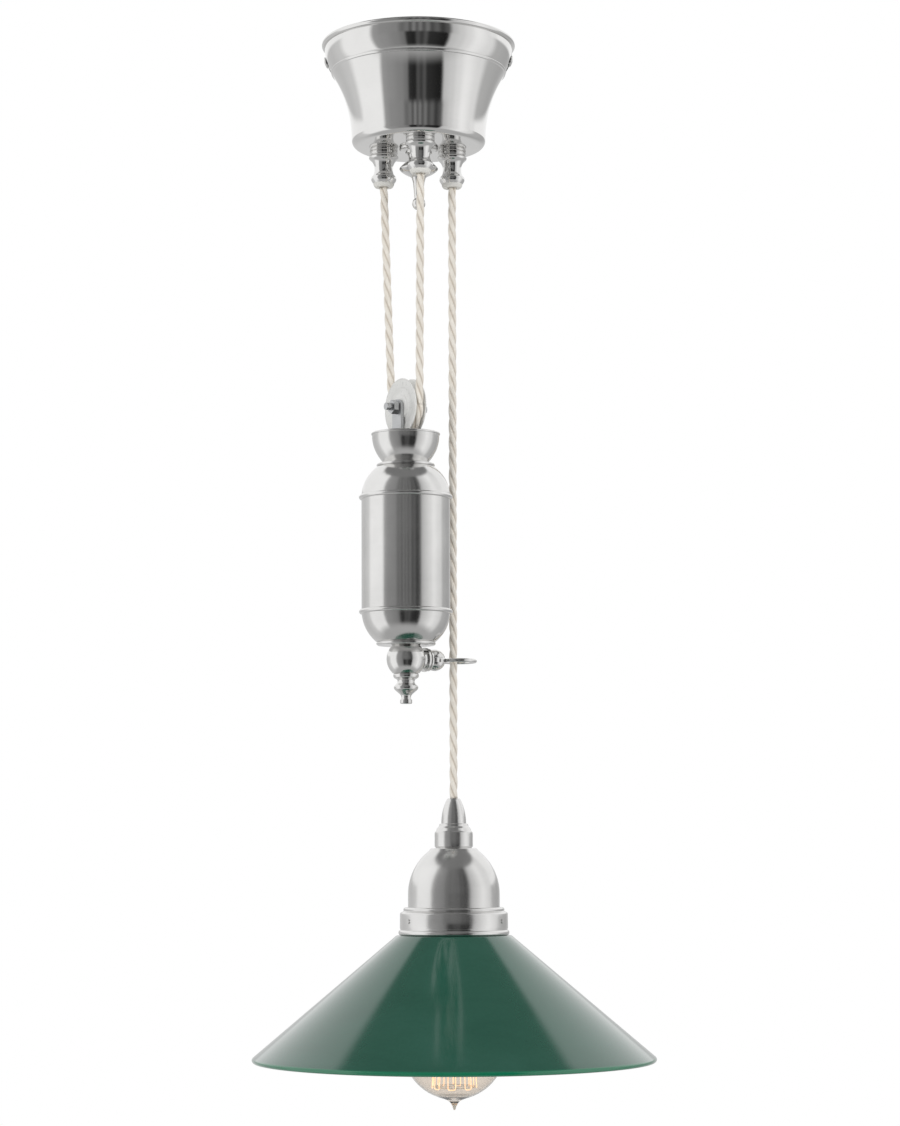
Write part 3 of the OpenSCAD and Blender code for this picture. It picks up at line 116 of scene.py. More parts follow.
CORD_D = 5.0
FLOOR_Z = -65.5             # underside of the ceiling cup
MOUTH_Z = -87.8             # where the cord leaves the glands
AXLE_Z = -229.5             # the weight's wheel
WHEEL_R = 16                # its radius to the cord's middle
LAMP_TOP = -470.5           # tip of the lamp's nose
BODY_TOP = -507.0           # top of the lampholder's porcelain
CEILING_AXLE_Z = -37.609    # the wheel inside the cup
CEILING_CORD_R = 21.39
LEFT = Vector((-21.391, 12.35, 0))
FRONT = Vector((0, -24.7, 0))
RIGHT = Vector((21.391, 12.35, 0))
WEIGHT = Vector((-8.617, -4.975, 0))
WHEEL_DIR = Vector((0.5, -math.cos(math.radians(30)), 0))      # across the wheel's axle
Z = Vector((0, 0, 1))


def at(p, z):
    return Vector((p.x, p.y, z))


def smooth(p, n=4):
    """Catmull-Rom curve through the points, n steps between two."""
    p = [Vector(q) for q in p]
    out = []
    for i in range(len(p) - 1):
        a, b, c, d = p[max(i - 1, 0)], p[i], p[i + 1], p[min(i + 2, len(p) - 1)]
        for k in range(n):
            t = k / n
            out.append(0.5 * (2 * b + (c - a) * t + (2 * a - 5 * b + 4 * c - d) * t * t
                              + (3 * b - 3 * c + d - a) * t ** 3))
    out.append(p[-1])
    return out


def arc(c, r, a0, a1, n=16):
    return [Vector((c[0] + r * math.cos(math.radians(a0 + (a1 - a0) * i / n)),
                    c[1] + r * math.sin(math.radians(a0 + (a1 - a0) * i / n)))) for i in range(n + 1)]


# ---------------------------------------------------------------- cord
# One route from the terminal block to the lampholder, cut into the pieces that move apart.
# Three braided cores are laid round each other, so its section has three lobes and turns along it.

STEP = 1.25      # mm between two rings
LAY = 31.0       # mm for a whole turn of the cores


def straight(a, b):
    n = max(1, round((b - a).length / STEP))
    return [a + (b - a) * i / n for i in range(n + 1)]


def resample(points):
    """The same route with even steps."""
    total = sum((b - a).length for a, b in zip(points, points[1:]))
    n = max(2, round(total / STEP))
    out, i, gone = [points[0]], 0, 0.0
    for k in range(1, n):
        want = total * k / n
        while gone + (points[i + 1] - points[i]).length < want:
            gone += (points[i + 1] - points[i]).length
            i += 1
        seg = points[i + 1] - points[i]
        out.append(points[i] + seg * ((want - gone) / seg.length))
    return out + [points[-1]]


tangent_left = at(WEIGHT - WHEEL_R * WHEEL_DIR, AXLE_Z)
tangent_front = at(WEIGHT + WHEEL_R * WHEEL_DIR, AXLE_Z)
ANCHOR_TOP = -41.3          # top of the clamp over the left gland
to_terminals = [at(LEFT, ANCHOR_TOP - 14), at(LEFT, ANCHOR_TOP - 6), at(LEFT, ANCHOR_TOP),
                (-21, 14, -36), (-21.5, 15, -30), (-21.5, 17.5, -23), (-20.5, 20.5, -17.5), (-18, 23.5, -12),
                (-14.5, 25, -9), (-5, 25, -9)]
fixed = resample([at(LEFT, MOUTH_Z)] + smooth(to_terminals, 8))[::-1]
along = (RIGHT - FRONT).normalized()
mid = at((FRONT + RIGHT) / 2, CEILING_AXLE_Z)
over = [mid + CEILING_CORD_R * (-along * math.cos(a) + Z * math.sin(a))
        for a in (math.pi * i / 54 for i in range(55))]
under = [at(WEIGHT, AXLE_Z) + WHEEL_R * (-WHEEL_DIR * math.cos(a) - Z * math.sin(a))
         for a in (math.pi * i / 40 for i in range(41))]
pieces = [
    ("cord_fixed_end", fixed, "canopy"),
    ("cord_left_strand", straight(at(LEFT, MOUTH_Z), tangent_left), ("canopy", "counterweight")),
    ("cord_pulley_loop", under, "counterweight"),
    ("cord_front_strand", straight(tangent_front, at(FRONT, MOUTH_Z)), ("counterweight", "canopy")),
    ("cord_ceiling_loop", straight(at(FRONT, MOUTH_Z), over[0])[:-1] + over
     + straight(over[-1], at(RIGHT, MOUTH_Z))[1:], "canopy"),
    ("cord_lamp_strand", straight(at(RIGHT, MOUTH_Z), at(RIGHT, LAMP_TOP)), ("canopy", "lamp")),
    ("cord_lamp_end", straight(at(RIGHT, LAMP_TOP), at(RIGHT, BODY_TOP - 1)), "lamp"),
]

# frames along the whole route, without twist of their own, so that neighbouring pieces meet
flat = [p for _, points, _ in pieces for p in points]
headings = []
for i in range(len(flat)):
    a, b = flat[max(i - 1, 0)], flat[min(i + 1, len(flat) - 1)]
    headings.append((b - a).normalized() if (b - a).length > 1e-6 else Vector((0, 0, -1)))
normal = headings[0].cross(Vector((0.3, 1, 0.2))).normalized()
frames, gone = [], 0.0
for i, (p, t) in enumerate(zip(flat, headings)):
    if i:
        gone += (p - flat[i - 1]).length
    normal = (normal - t * normal.dot(t)).normalized()
    frames.append((p, t, normal.copy(), gone))

SIDES = 36
LOBE_AT, LOBE_R = 1.03, 1.5       # three lobes, together as wide as the cord


def lobe_radius(a):
    """Radius of the three-lobed section at angle a from one lobe's line."""
    a = (a + math.pi / 3) % (2 * math.pi / 3) - math.pi / 3
    return LOBE_AT * math.cos(a) + math.sqrt(LOBE_R ** 2 - (LOBE_AT * math.sin(a)) ** 2)


def new_mesh(name, verts, faces, uvs=()):
    mesh = bpy.data.meshes.new(name)
    mesh.from_pydata(verts, [], faces)
    if uvs:
        layer = mesh.uv_layers.new(name="UVMap")
        for i, uv in enumerate(uvs):
            layer.data[i].uv = uv
    return mesh


def cord_mesh(name, first, count):
    """Rings first to first + count of the route's frames, with the lay in UV v."""
    verts, faces, uvs = [], [], []
    for p, t, n, s in frames[first:first + count]:
        b = t.cross(n)
        turn = -2 * math.pi * s / LAY
        for k in range(SIDES):
            a = 2 * math.pi * k / SIDES
            r = lobe_radius(a)
            q = p + r * (n * math.cos(a + turn) + b * math.sin(a + turn))
            verts.append(q * MM)
    for i in range(count - 1):
        for k in range(SIDES):
            k2 = (k + 1) % SIDES
            faces.append((i * SIDES + k, i * SIDES + k2, (i + 1) * SIDES + k2, (i + 1) * SIDES + k))
            s0, s1 = frames[first + i][3] / LAY, frames[first + i + 1][3] / LAY
            u0, u1 = k / SIDES, (k + 1) / SIDES
            uvs += [(u0, s0), (u1, s0), (u1, s1), (u0, s1)]
    for ring in (0, count - 1):
        loop = [ring * SIDES + k for k in range(SIDES)]
        faces.append(tuple(loop[::-1]) if ring == 0 else tuple(loop))
        uvs += [(0.5, 0.5)] * SIDES
    mesh = new_mesh(name, verts, faces, uvs)
    mesh.validate()
    mesh.update()
    for f in mesh.polygons:
        f.use_smooth = len(f.vertices) == 4
    return new_object(name, mesh)


first = 0
for name, points, body in pieces:
    count = len(points)
    obj = cord_mesh(name + "_twisted", first, count)
    path = [tuple(p * MM) for p in points]
    if isinstance(body, tuple):
        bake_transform(obj, body[0], body[1], start=path[0], end=path[-1])
        # an upright strand keeps an even lay at any height, so it takes up the motion evenly
        weights = obj.data.attributes["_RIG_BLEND"]
        for i in range(len(obj.data.vertices)):
            weights.data[i].value = min(1.0, max(0.0, (i // SIDES) / (count - 1)))
    else:
        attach(obj, body)
    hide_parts(name)
    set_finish(obj, "cream_cord")
    first += count

# ---------------------------------------------------------------- turned pieces


SAME = 0.004      # mm between two points of an outline that count as one
UV_STEP = 100     # mm of outline for a whole step of UV v
CORNER = 28       # degrees between two faces that keep a sharp edge


def lathe(name, outline, body, axis=(0, 0), z=0.0, seg=128, turn=None, slot=None, node=None, corner=CORNER):
    """A closed outline of [radius, height] in mm, turned about a vertical axis.
    turn is a matrix that stands the axis another way, about the place (axis, z)."""
    pts = []
    for p in outline:
        q = Vector((float(p[0]), float(p[1])))
        if not pts or (q - pts[-1]).length > SAME:
            pts.append(q)
    if (pts[0] - pts[-1]).length < SAME:
        pts.pop()
    verts, rows = [], []
    for q in pts:
        if q.x < 1e-4:
            rows.append([len(verts)])
            verts.append(Vector((0, 0, q.y)))
        else:
            rows.append(list(range(len(verts), len(verts) + seg)))
            for k in range(seg):
                a = 2 * math.pi * k / seg
                verts.append(Vector((q.x * math.cos(a), q.x * math.sin(a), q.y)))
    faces, uvs, lengths = [], [], [0.0]
    for i in range(len(pts)):
        lengths.append(lengths[-1] + (pts[(i + 1) % len(pts)] - pts[i]).length)
    for i in range(len(pts)):
        a, b = rows[i], rows[(i + 1) % len(pts)]
        v0, v1 = lengths[i] / UV_STEP, lengths[i + 1] / UV_STEP
        if len(a) == 1 and len(b) == 1:
            continue
        for k in range(seg):
            k2 = (k + 1) % seg
            u0, u1 = k / seg, (k + 1) / seg
            if len(a) == 1:
                faces.append((a[0], b[k2], b[k]))
                uvs += [(u0, v0), (u1, v1), (u0, v1)]
            elif len(b) == 1:
                faces.append((a[k], a[k2], b[0]))
                uvs += [(u0, v0), (u1, v0), (u0, v1)]
            else:
                faces.append((a[k], a[k2], b[k2], b[k]))
                uvs += [(u0, v0), (u1, v0), (u1, v1), (u0, v1)]
    place = Matrix.Translation((axis[0], axis[1], z))
    if turn is not None:
        place = place @ turn
    mesh = new_mesh(name, [(place @ v) * MM for v in verts], faces, uvs)
    finish_mesh(mesh, corner)
    obj = new_object(name, mesh)
    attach(obj, body)
    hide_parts(node)
    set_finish(obj, slot)
    return obj


def finish_mesh(mesh, corner=CORNER):
    """Outward faces, smooth shading, and sharp edges only at real corners."""
    bm = bmesh.new()
    bm.from_mesh(mesh)
    bmesh.ops.recalc_face_normals(bm, faces=bm.faces)
    for f in bm.faces:
        f.smooth = True
    for e in bm.edges:
        e.smooth = not (len(e.link_faces) == 2 and e.calc_face_angle(0) > math.radians(corner))
    bm.to_mesh(mesh)
    bm.free()
    mesh.update()


def rounded(p, r, n):
    """The outline with its corners over 30 degrees rounded off in n steps, as polishing leaves them."""
    p = [Vector((float(q[0]), float(q[1]))) for q in p]
    out = []
    for i, q in enumerate(p):
        a, b = p[i - 1], p[(i + 1) % len(p)]
        u, v = a - q, b - q
        if u.length < 1e-6 or v.length < 1e-6:
            out.append(q)
            continue
        bend = math.pi - u.angle(v)
        if bend < math.radians(30) or q.x < 0.01:
            out.append(q)
            continue
        cut = min(r, 0.4 * u.length, 0.4 * v.length)
        s, e = q + u.normalized() * cut, q + v.normalized() * cut
        for k in range(n + 1):
            t = k / n
            out.append((1 - t) ** 2 * s + 2 * t * (1 - t) * q + t * t * e)
    return out


def rev(p):
    return list(p)[::-1]


# ---- ceiling cup
WALL = 1.2
BASE_R, EDGE_R, COVE_R, LINE_Z, RIM_D, BEAD_R = 41.7, 4.5, 79.0, -18.5, 120.5, 1.6
cove_z = FLOOR_Z + EDGE_R
cove_at = (BASE_R + COVE_R, cove_z)
cove_turn = math.degrees(math.asin((LINE_Z - cove_z) / COVE_R))
line_r = cove_at[0] - COVE_R * math.cos(math.radians(cove_turn))
bead_at = (RIM_D / 2 - BEAD_R, -BEAD_R)
shoulder_end = (bead_at[0] - 0.24, -2 * BEAD_R + 0.3)
run = (shoulder_end[0] - line_r, shoulder_end[1] - LINE_Z)
ct, st = math.cos(math.radians(cove_turn)), math.sin(math.radians(cove_turn))
shoulder_r = (run[0] ** 2 + run[1] ** 2) / (2 * (run[1] * st - run[0] * ct))
shoulder_at = (line_r - shoulder_r * ct, LINE_Z + shoulder_r * st)
shoulder_turn = math.degrees(math.asin((shoulder_at[1] - shoulder_end[1]) / shoulder_r))


def canopy_side(inset):
    return (arc((BASE_R - EDGE_R, cove_z), EDGE_R - inset, -90, 0, 16)
            + arc(cove_at, COVE_R + inset, 180, 180 - cove_turn, 40)
            + arc(shoulder_at, shoulder_r - inset, -cove_turn, -shoulder_turn, 24))


line = [(line_r + 0.02, LINE_Z - 0.75), (line_r + 0.16, LINE_Z - 0.6), (line_r + 0.42, LINE_Z - 0.1),
        (line_r + 0.58, LINE_Z + 0.2), (line_r + 0.5, LINE_Z + 0.5), (line_r + 0.36, LINE_Z + 0.7)]
outer = canopy_side(0)
below = [p for p in outer if p[1] < LINE_Z - 0.8]
above = [p for p in outer if p[1] > LINE_Z + 0.9]
bead = arc(bead_at, BEAD_R, -70, 150, 22)
CUP_CORNER = 35
canopy = lathe("ceiling_cup", [(0, FLOOR_Z)] + below + smooth(line, 3) + above + bead
               + rev(canopy_side(WALL)) + [(0, FLOOR_Z + WALL)],
               "canopy", seg=192, slot="polished_nickel", node="canopy_shell", corner=CUP_CORNER)

# the slots for the side screws, cut with a rounded slot-shaped tool
SCREW_TURNS, SCREW_Z, SLOT_R, SLOT_REACH = (-4, 176), -11.5, 2.3, 4.2
lean = math.degrees(math.asin((shoulder_at[1] - SCREW_Z) / shoulder_r))
side_r = shoulder_at[0] + shoulder_r * math.cos(math.radians(lean))
bm = bmesh.new()
for turn in SCREW_TURNS:
    place = (Matrix.Rotation(math.radians(turn), 4, "Z") @ Matrix.Translation((side_r, 0, SCREW_Z))
             @ Matrix.Rotation(math.radians(lean), 4, "Y"))
    outline = [Vector((0, SLOT_R * math.cos(math.radians(a)), SLOT_REACH * (1 if a < 180 else -1)
                       + SLOT_R * math.sin(math.radians(a)))) for a in range(0, 360, 15)]
    rings = []
    for x in (-3.5, 2.5):
        rings.append([bm.verts.new((place @ (p + Vector((x, 0, 0)))) * MM) for p in outline])
    n = len(outline)
    for k in range(n):
        bm.faces.new((rings[0][k], rings[0][(k + 1) % n], rings[1][(k + 1) % n], rings[1][k]))
    bm.faces.new(rings[0][::-1])
    bm.faces.new(rings[1])
bmesh.ops.recalc_face_normals(bm, faces=bm.faces)
tool_mesh = bpy.data.meshes.new("slot_tool")
bm.to_mesh(tool_mesh)
bm.free()
tool = new_object("slot_tool", tool_mesh)
cut = canopy.modifiers.new("slots", "BOOLEAN")
cut.operation = "DIFFERENCE"
cut.solver = "EXACT"
cut.object = tool
bpy.context.view_layer.update()
cut_mesh = bpy.data.meshes.new_from_object(canopy.evaluated_get(bpy.context.evaluated_depsgraph_get()))
canopy.modifiers.clear()
canopy.data = cut_mesh
finish_mesh(cut_mesh, CUP_CORNER)
bpy.data.objects.remove(tool)

# ---- glands and their white bushes
GL, FLANGE, GBEAD, COL, GRING, SHANK = 19.9, 17.6 / 2, 18.6 / 2, 6.0, 15.8 / 2, 5.0
shank_top = 7.3
bore, spigot = 3.15, 4.9
GLANDS = (("left", LEFT), ("front", FRONT), ("right", RIGHT))
gland = ([(bore, shank_top), (SHANK, shank_top), (SHANK, 0), (FLANGE - 0.3, 0)]
         + smooth([(FLANGE, -0.4), (FLANGE, -1.5), (FLANGE - 0.6, -2)], 6)
         + smooth([(GBEAD - 0.4, -2.6), (GBEAD, -3.6), (GBEAD - 0.5, -4.7), (COL + 1.2, -6.2), (COL, -8.8),
                   (COL - 0.1, -12.4), (COL + 0.5, -14.4)], 8)
         + smooth([(GRING - 0.9, -GL + 4.9), (GRING - 0.1, -GL + 3.8), (GRING - 0.1, -GL + 2),
                   (GRING - 1.3, -GL)], 8)
         + [(spigot, -GL), (spigot, -GL + 5), (bore, -GL + 5)])
bush = ([(2.85, 5), (spigot, 5), (spigot, 0), (6.5, 0)]
        + smooth([(6.5, -0.4), (6.2, -1.4), (5.5, -2.4)], 6)
        + [(3.1, -2.4), (2.85, -2.1)])
for name, place in GLANDS:
    lathe("cord_gland_" + name, gland, "canopy", (place.x, place.y), FLOOR_Z, 72,
          slot="polished_nickel", node="gland_" + name)
for name, place in GLANDS:
    lathe("cord_bush_" + name, bush, "canopy", (place.x, place.y), FLOOR_Z - GL, 64,
          slot="white_plastic", node="gland_bushes")

# ---- finial under the ceiling cup
DISC, BODY, STEM = 12.0, 19.0, 12.5
lathe("centre_finial_turned", [(0, 0), (11.6, 0)]
      + smooth([(12, -0.5), (11.8, -1.6), (10.6, -2.2)], 6)
      + smooth([(8.2, -2.8), (8.3, -3.8), (7, -5), (6.3, -6.6), (6.8, -8.2), (DISC - 2.4, -10.6),
                (DISC - 0.3, -12.8), (DISC - 0.2, -14), (DISC - 2.6, -16), (5.6, -BODY + 1), (4.4, -BODY)], 8)
      + smooth([(3.6, -BODY - 3), (2.8, -BODY - STEM), (2.7, -BODY - STEM - 0.6)], 6)
      + arc((0, -BODY - STEM - 3.6), 4.2, 45, -90, 24),
      "canopy", (0, 0), FLOOR_Z, 96, slot="polished_nickel", node="centre_finial")

# ---- the weight's wheel, on an axis along the arm
FLANGE_EDGE, HALF_W, BUSH_R = WHEEL_R + 2.2, 8.5 / 2, 8 / 2
GROOVE_R = CORD_D / 2 + 0.45      # wide enough for a strand that comes in at a slant
wheel = ([(BUSH_R, -HALF_W), (BUSH_R + 3.2, -HALF_W)]
         + smooth([(BUSH_R + 3.6, -HALF_W + 0.15), (BUSH_R + 4.2, -HALF_W + 0.9)], 3)
         + smooth([(BUSH_R + 4.9, -HALF_W + 1.1), (WHEEL_R - 4.2, -HALF_W + 1.0),
                   (WHEEL_R - 3, -HALF_W + 0.6)], 4)
         + [(FLANGE_EDGE - 0.9, -HALF_W + 0.5)]
         + arc((FLANGE_EDGE - 0.5, -HALF_W + 0.7), 0.45, -90, 45, 6)
         + arc((WHEEL_R, 0), GROOVE_R, -105, -255, 28)
         + arc((FLANGE_EDGE - 0.5, HALF_W - 0.7), 0.45, -45, 90, 6)
         + [(FLANGE_EDGE - 0.9, HALF_W - 0.5)]
         + smooth([(WHEEL_R - 3, HALF_W - 0.6), (WHEEL_R - 4.2, HALF_W - 1.0),
                   (BUSH_R + 4.9, HALF_W - 1.1)], 4)
         + smooth([(BUSH_R + 4.2, HALF_W - 0.9), (BUSH_R + 3.6, HALF_W - 0.15)], 3)
         + [(BUSH_R + 3.2, HALF_W), (BUSH_R, HALF_W)])
to_arm = Matrix.Rotation(math.radians(30), 4, "Z") @ Matrix.Rotation(math.radians(90), 4, "Y")
lathe("weight_wheel", wheel, "weight_pulley", (WEIGHT.x, WEIGHT.y), AXLE_Z, 96,
      turn=to_arm, slot="porcelain", node="weight_pulley")

# ---- counterweight
W = (WEIGHT.x, WEIGHT.y)
CUP_RIM_Z, CUP_H, CUP_RIM, CUP_FLOOR = -245.0, 18.3, 21.3, 14.0
cup_foot = CUP_RIM_Z - CUP_H
disc_foot = cup_foot - 2.7


def cup_side(inset, n=40):
    """The cup's flared side from its foot up, steep at the foot."""
    out = []
    for i in range(n, -1, -1):
        t = 1 - (1 - i / n) ** 1.5
        out.append((CUP_RIM - 0.5 - inset - (CUP_RIM - 0.5 - CUP_FLOOR) * t ** 2.2,
                    CUP_RIM_Z - 1.2 - (CUP_H - 1.2) * t))
    return out


rod = 3.05
lathe("weight_cup_turned", [(rod, disc_foot), (17.3, disc_foot)]
      + arc((17.1, disc_foot + 0.9), 0.9, -80, 80, 14)
      + [(14.0, cup_foot - 0.1)] + cup_side(0)
      + arc((CUP_RIM - 0.8, CUP_RIM_Z - 0.8), 0.8, -50, 130, 14)
      + rev([p for p in cup_side(1.2) if p[1] > cup_foot + 1.6])
      + [(12.4, cup_foot + 1.6), (rod, cup_foot + 1.6)],
      "counterweight", W, 0, 128, slot="satin_nickel", node="weight_cup")

BARREL_R, BARREL_L, SHELL, BEAD_H = 27.35, 68, 1.2, 2.8
BEAD_OUT = BARREL_R + 1.55
TOP_H, TOP_ARC, TOP_DROP = 17.6, 23.3, 1.4       # upper dome: height, radius, centre below its foot
LOW_H, LOW_ARC, LOW_RISE = 17.1, 25, 2.1         # lower dome: height, radius, centre above its top
dome_foot = disc_foot - TOP_H
bead_foot = dome_foot - BEAD_H
low_bead_top = bead_foot - BARREL_L
low_dome_top = low_bead_top - BEAD_H
low_dome_foot = low_dome_top - LOW_H
base_foot = low_dome_foot - 2.3


def weight_bead(z):
    return arc((BEAD_OUT - BEAD_H / 2, z + BEAD_H / 2), BEAD_H / 2, -80, 80, 20)


def top_side(inset):
    return arc((BARREL_R - TOP_ARC, dome_foot - TOP_DROP), TOP_ARC - inset,
               math.degrees(math.asin(TOP_DROP / TOP_ARC)),
               math.degrees(math.asin((TOP_H + TOP_DROP) / TOP_ARC)), 32)


def low_side(inset):
    return arc((BARREL_R - LOW_ARC, low_dome_top + LOW_RISE), LOW_ARC - inset,
               -math.degrees(math.asin(LOW_RISE / LOW_ARC)),
               -math.degrees(math.asin((LOW_H + LOW_RISE) / LOW_ARC)), 32)


lathe("weight_dome_upper", [(BARREL_R - SHELL, bead_foot), (BARREL_R, bead_foot)]
      + weight_bead(bead_foot) + top_side(0) + [(rod, disc_foot), (rod, disc_foot - SHELL)]
      + rev([p for p in top_side(SHELL) if p[1] < disc_foot - SHELL]),
      "counterweight", W, 0, 160, slot="satin_nickel", node="weight_top_dome")
lathe("weight_drum", [(BARREL_R - SHELL, low_bead_top + 0.01), (BARREL_R, low_bead_top + 0.01),
                      (BARREL_R, bead_foot - 0.01), (BARREL_R - SHELL, bead_foot - 0.01)],
      "counterweight", W, 0, 160, slot="satin_nickel", node="weight_barrel")
lathe("weight_dome_lower", [(rod, base_foot), (17.5, base_foot)]
      + arc((17.15, base_foot + 1.15), 1.15, -70, 60, 14)
      + rev(low_side(0)) + weight_bead(low_bead_top - BEAD_H)
      + [(BARREL_R, low_bead_top), (BARREL_R - SHELL, low_bead_top)]
      + [p for p in low_side(SHELL) if p[1] > low_dome_foot + SHELL] + [(rod, low_dome_foot + SHELL)],
      "counterweight", W, 0, 160, slot="satin_nickel", node="weight_bottom_dome")

ball_foot = base_foot - 17.2
TAIL_R = 7.8
lathe("weight_finial_turned", [(0, 0), (TAIL_R - 0.8, 0)]
      + smooth([(TAIL_R, -0.6), (TAIL_R + 0.1, -1.6), (TAIL_R - 0.4, -2.8), (5.7, -3.9), (5.3, -4.9),
                (5.8, -6.3), (TAIL_R - 0.7, -7.6), (TAIL_R - 0.3, -8.7), (TAIL_R - 0.7, -10), (5.4, -11.6),
                (3.6, -13.2), (3, -14.6), (3.3, -15.8)], 8)
      + [(3.7, -16.4), (3.7, -18.4), (3.3, -18.8), (0, -18.8)],
      "counterweight", W, ball_foot, 80, slot="satin_nickel", node="weight_finial")

# ---- lamp head
L = (RIGHT.x, RIGHT.y)
CORD_BORE, NIPPLE = 2.85, 5.05
NOSE_H, TIP_R, NOSE_R = 15.6, 4.2, 7.7
lathe("nose_cone_turned",
      [(CORD_BORE, 0), (TIP_R - 0.8, 0)] + smooth([(TIP_R - 0.35, -0.12), (TIP_R, -0.6)], 3)
      + [(TIP_R - 0.5 + (NOSE_R - TIP_R + 0.5) * math.sin(math.pi / 2 * (i / 40) ** 0.8), -NOSE_H * i / 40)
         for i in range(5, 41)]
      + [(NIPPLE, -NOSE_H), (NIPPLE, -NOSE_H + 6.4), (CORD_BORE, -NOSE_H + 6.4)],
      "lamp", L, LAMP_TOP, 96, slot="polished_nickel", node="nose_cone")
COL_R, COL_FOOT = 23.7 / 2, -NOSE_H - 15.2
lathe("collar_turned", rounded([
    (NIPPLE, -NOSE_H), (NOSE_R + 0.7, -NOSE_H), (NOSE_R + 1.1, -NOSE_H - 0.4), (NOSE_R + 1.5, -NOSE_H - 1.8),
    (COL_R - 2, -NOSE_H - 2.3), (COL_R - 1.4, -NOSE_H - 3.2), (COL_R - 0.9, -NOSE_H - 4.6),
    (COL_R - 0.2, -NOSE_H - 5.4), (COL_R, -NOSE_H - 6.4), (COL_R, COL_FOOT + 0.9),
    (COL_R - 0.6, COL_FOOT + 0.5), (COL_R - 0.6, COL_FOOT), (NIPPLE, COL_FOOT)], 0.4, 4),
    "lamp", L, LAMP_TOP, 96, slot="polished_nickel", node="holder_collar")

DOME_R, DFOOT_R, DTOP_R, HEAD = 34.0, 28.4, 15.3, 1.2
dome_turn = math.degrees(math.acos((DTOP_R - DFOOT_R + DOME_R) / DOME_R))
curve_foot = COL_FOOT - 1.6 - DOME_R * math.sin(math.radians(dome_turn))
lamp_dome_foot = curve_foot - 10.8


def dome_side(inset):
    return arc((DFOOT_R - DOME_R, curve_foot), DOME_R - inset, 0, dome_turn, 40)


lathe("holder_dome_turned", [(DFOOT_R - HEAD, lamp_dome_foot), (DFOOT_R, lamp_dome_foot)] + dome_side(0)
      + smooth([(DTOP_R - 0.6, COL_FOOT - 0.6), (DTOP_R - 1.8, COL_FOOT)], 4)
      + [(NIPPLE, COL_FOOT), (NIPPLE, COL_FOOT - HEAD), (DTOP_R - 2.6, COL_FOOT - HEAD)]
      + rev([p for p in dome_side(HEAD) if p[1] < COL_FOOT - HEAD]),
      "lamp", L, LAMP_TOP, 144, slot="polished_nickel", node="holder_dome", corner=33)
G_R, G_RIM = 33.4, 34.4
g_top = lamp_dome_foot + 2.6
g_foot = g_top - 17.4
lathe("gallery_turned", [(DFOOT_R, g_top), (DFOOT_R + 0.6, g_top)]
      + arc((DFOOT_R + 1.5, g_top - 1.4), 1.4, 90, -30, 14)
      + smooth([(G_R - 1.4, g_top - 2.8), (G_R - 0.4, g_top - 3.2), (G_R, g_top - 4)], 4)
      + smooth([(G_R + 0.1, g_foot + 4.8), (G_R - 0.1, g_foot + 4.2)], 3)
      + arc((G_RIM - 1.8, g_foot + 1.8), 1.8, 70, -70, 16)
      + [(G_RIM - 1.4, g_foot), (G_R - HEAD, g_foot), (G_R - HEAD, g_top - 4.4), (DFOOT_R, g_top - 4.4)],
      "lamp", L, LAMP_TOP, 144, slot="polished_nickel", node="gallery")

# ---- shade
SHADE_R, TOP_R, SLOPE, GLASS, FIT_R = 125.0, 36.4, 40.2, 3.2, 29.8
s_top = g_foot
cone_top = Vector((TOP_R, s_top - 0.6))
cs, sn = math.cos(math.radians(SLOPE)), math.sin(math.radians(SLOPE))
through = Vector((-sn, -cs))
rim_x = SHADE_R - GLASS / 2
drop = (rim_x - GLASS / 2 * through.x - cone_top.x) * math.tan(math.radians(SLOPE))
rim_at = Vector((rim_x, cone_top.y - drop + GLASS / 2 * through.y))
inner_top = cone_top + GLASS * through + 1.5 * Vector((-cs, sn))
outer_edge = rim_at - GLASS / 2 * through
inner_edge = rim_at + GLASS / 2 * through
shade_outline = ([(FIT_R, s_top + 12), (FIT_R, s_top)]
                 + smooth([(TOP_R - 0.8, s_top), cone_top], 3)
                 + [cone_top.lerp(outer_edge, i / 24) for i in range(1, 24)]
                 + arc(rim_at, GLASS / 2, 90 - SLOPE, -90 - SLOPE, 20)
                 + [inner_edge.lerp(inner_top, i / 24) for i in range(1, 25)]
                 + [(FIT_R - GLASS, s_top - GLASS), (FIT_R - GLASS, s_top + 12)])
lathe("shade_blown", shade_outline, "lamp", L, LAMP_TOP, 192, slot="green_glass", node="glass_shade", corner=40)

# ---- bulb
CAP_FOOT = BODY_TOP - 40.5 + 2
GLOBE_DROP = 79                   # from the cap's foot to the globe's middle
GLOBE_Z = CAP_FOOT - GLOBE_DROP
BULB_R, NECK_R = 32.0, 12.6
swell = BULB_R - NECK_R


def bulb_side(inset):
    return (smooth([(NECK_R - inset, CAP_FOOT + 2), (NECK_R - inset, CAP_FOOT - 0.5),
                    (NECK_R - inset, CAP_FOOT - 3.16), (NECK_R + 0.08 * swell - inset, CAP_FOOT - 11.85),
                    (NECK_R + 0.33 * swell - inset, CAP_FOOT - 27.65),
                    (NECK_R + 0.71 * swell - inset, CAP_FOOT - 47.4),
                    (NECK_R + 0.95 * swell - inset, CAP_FOOT - 64.78), (BULB_R - inset, GLOBE_Z)], 8)
            + arc((0, GLOBE_Z), BULB_R - inset, -4, -72, 28))


bottom = GLOBE_Z - BULB_R
lathe("bulb_envelope", bulb_side(0)
      + smooth([(6, bottom + 0.3), (3.2, bottom - 1.2), (1.6, bottom - 3.4), (0.7, bottom - 5.8),
                (0.3, bottom - 6.4), (0, bottom - 6.5)], 5)
      + [(0, bottom + 0.8)] + rev(bulb_side(0.8)),
      "lamp", L, 0, 128, slot="bulb_glass", node="bulb_glass", corner=60)

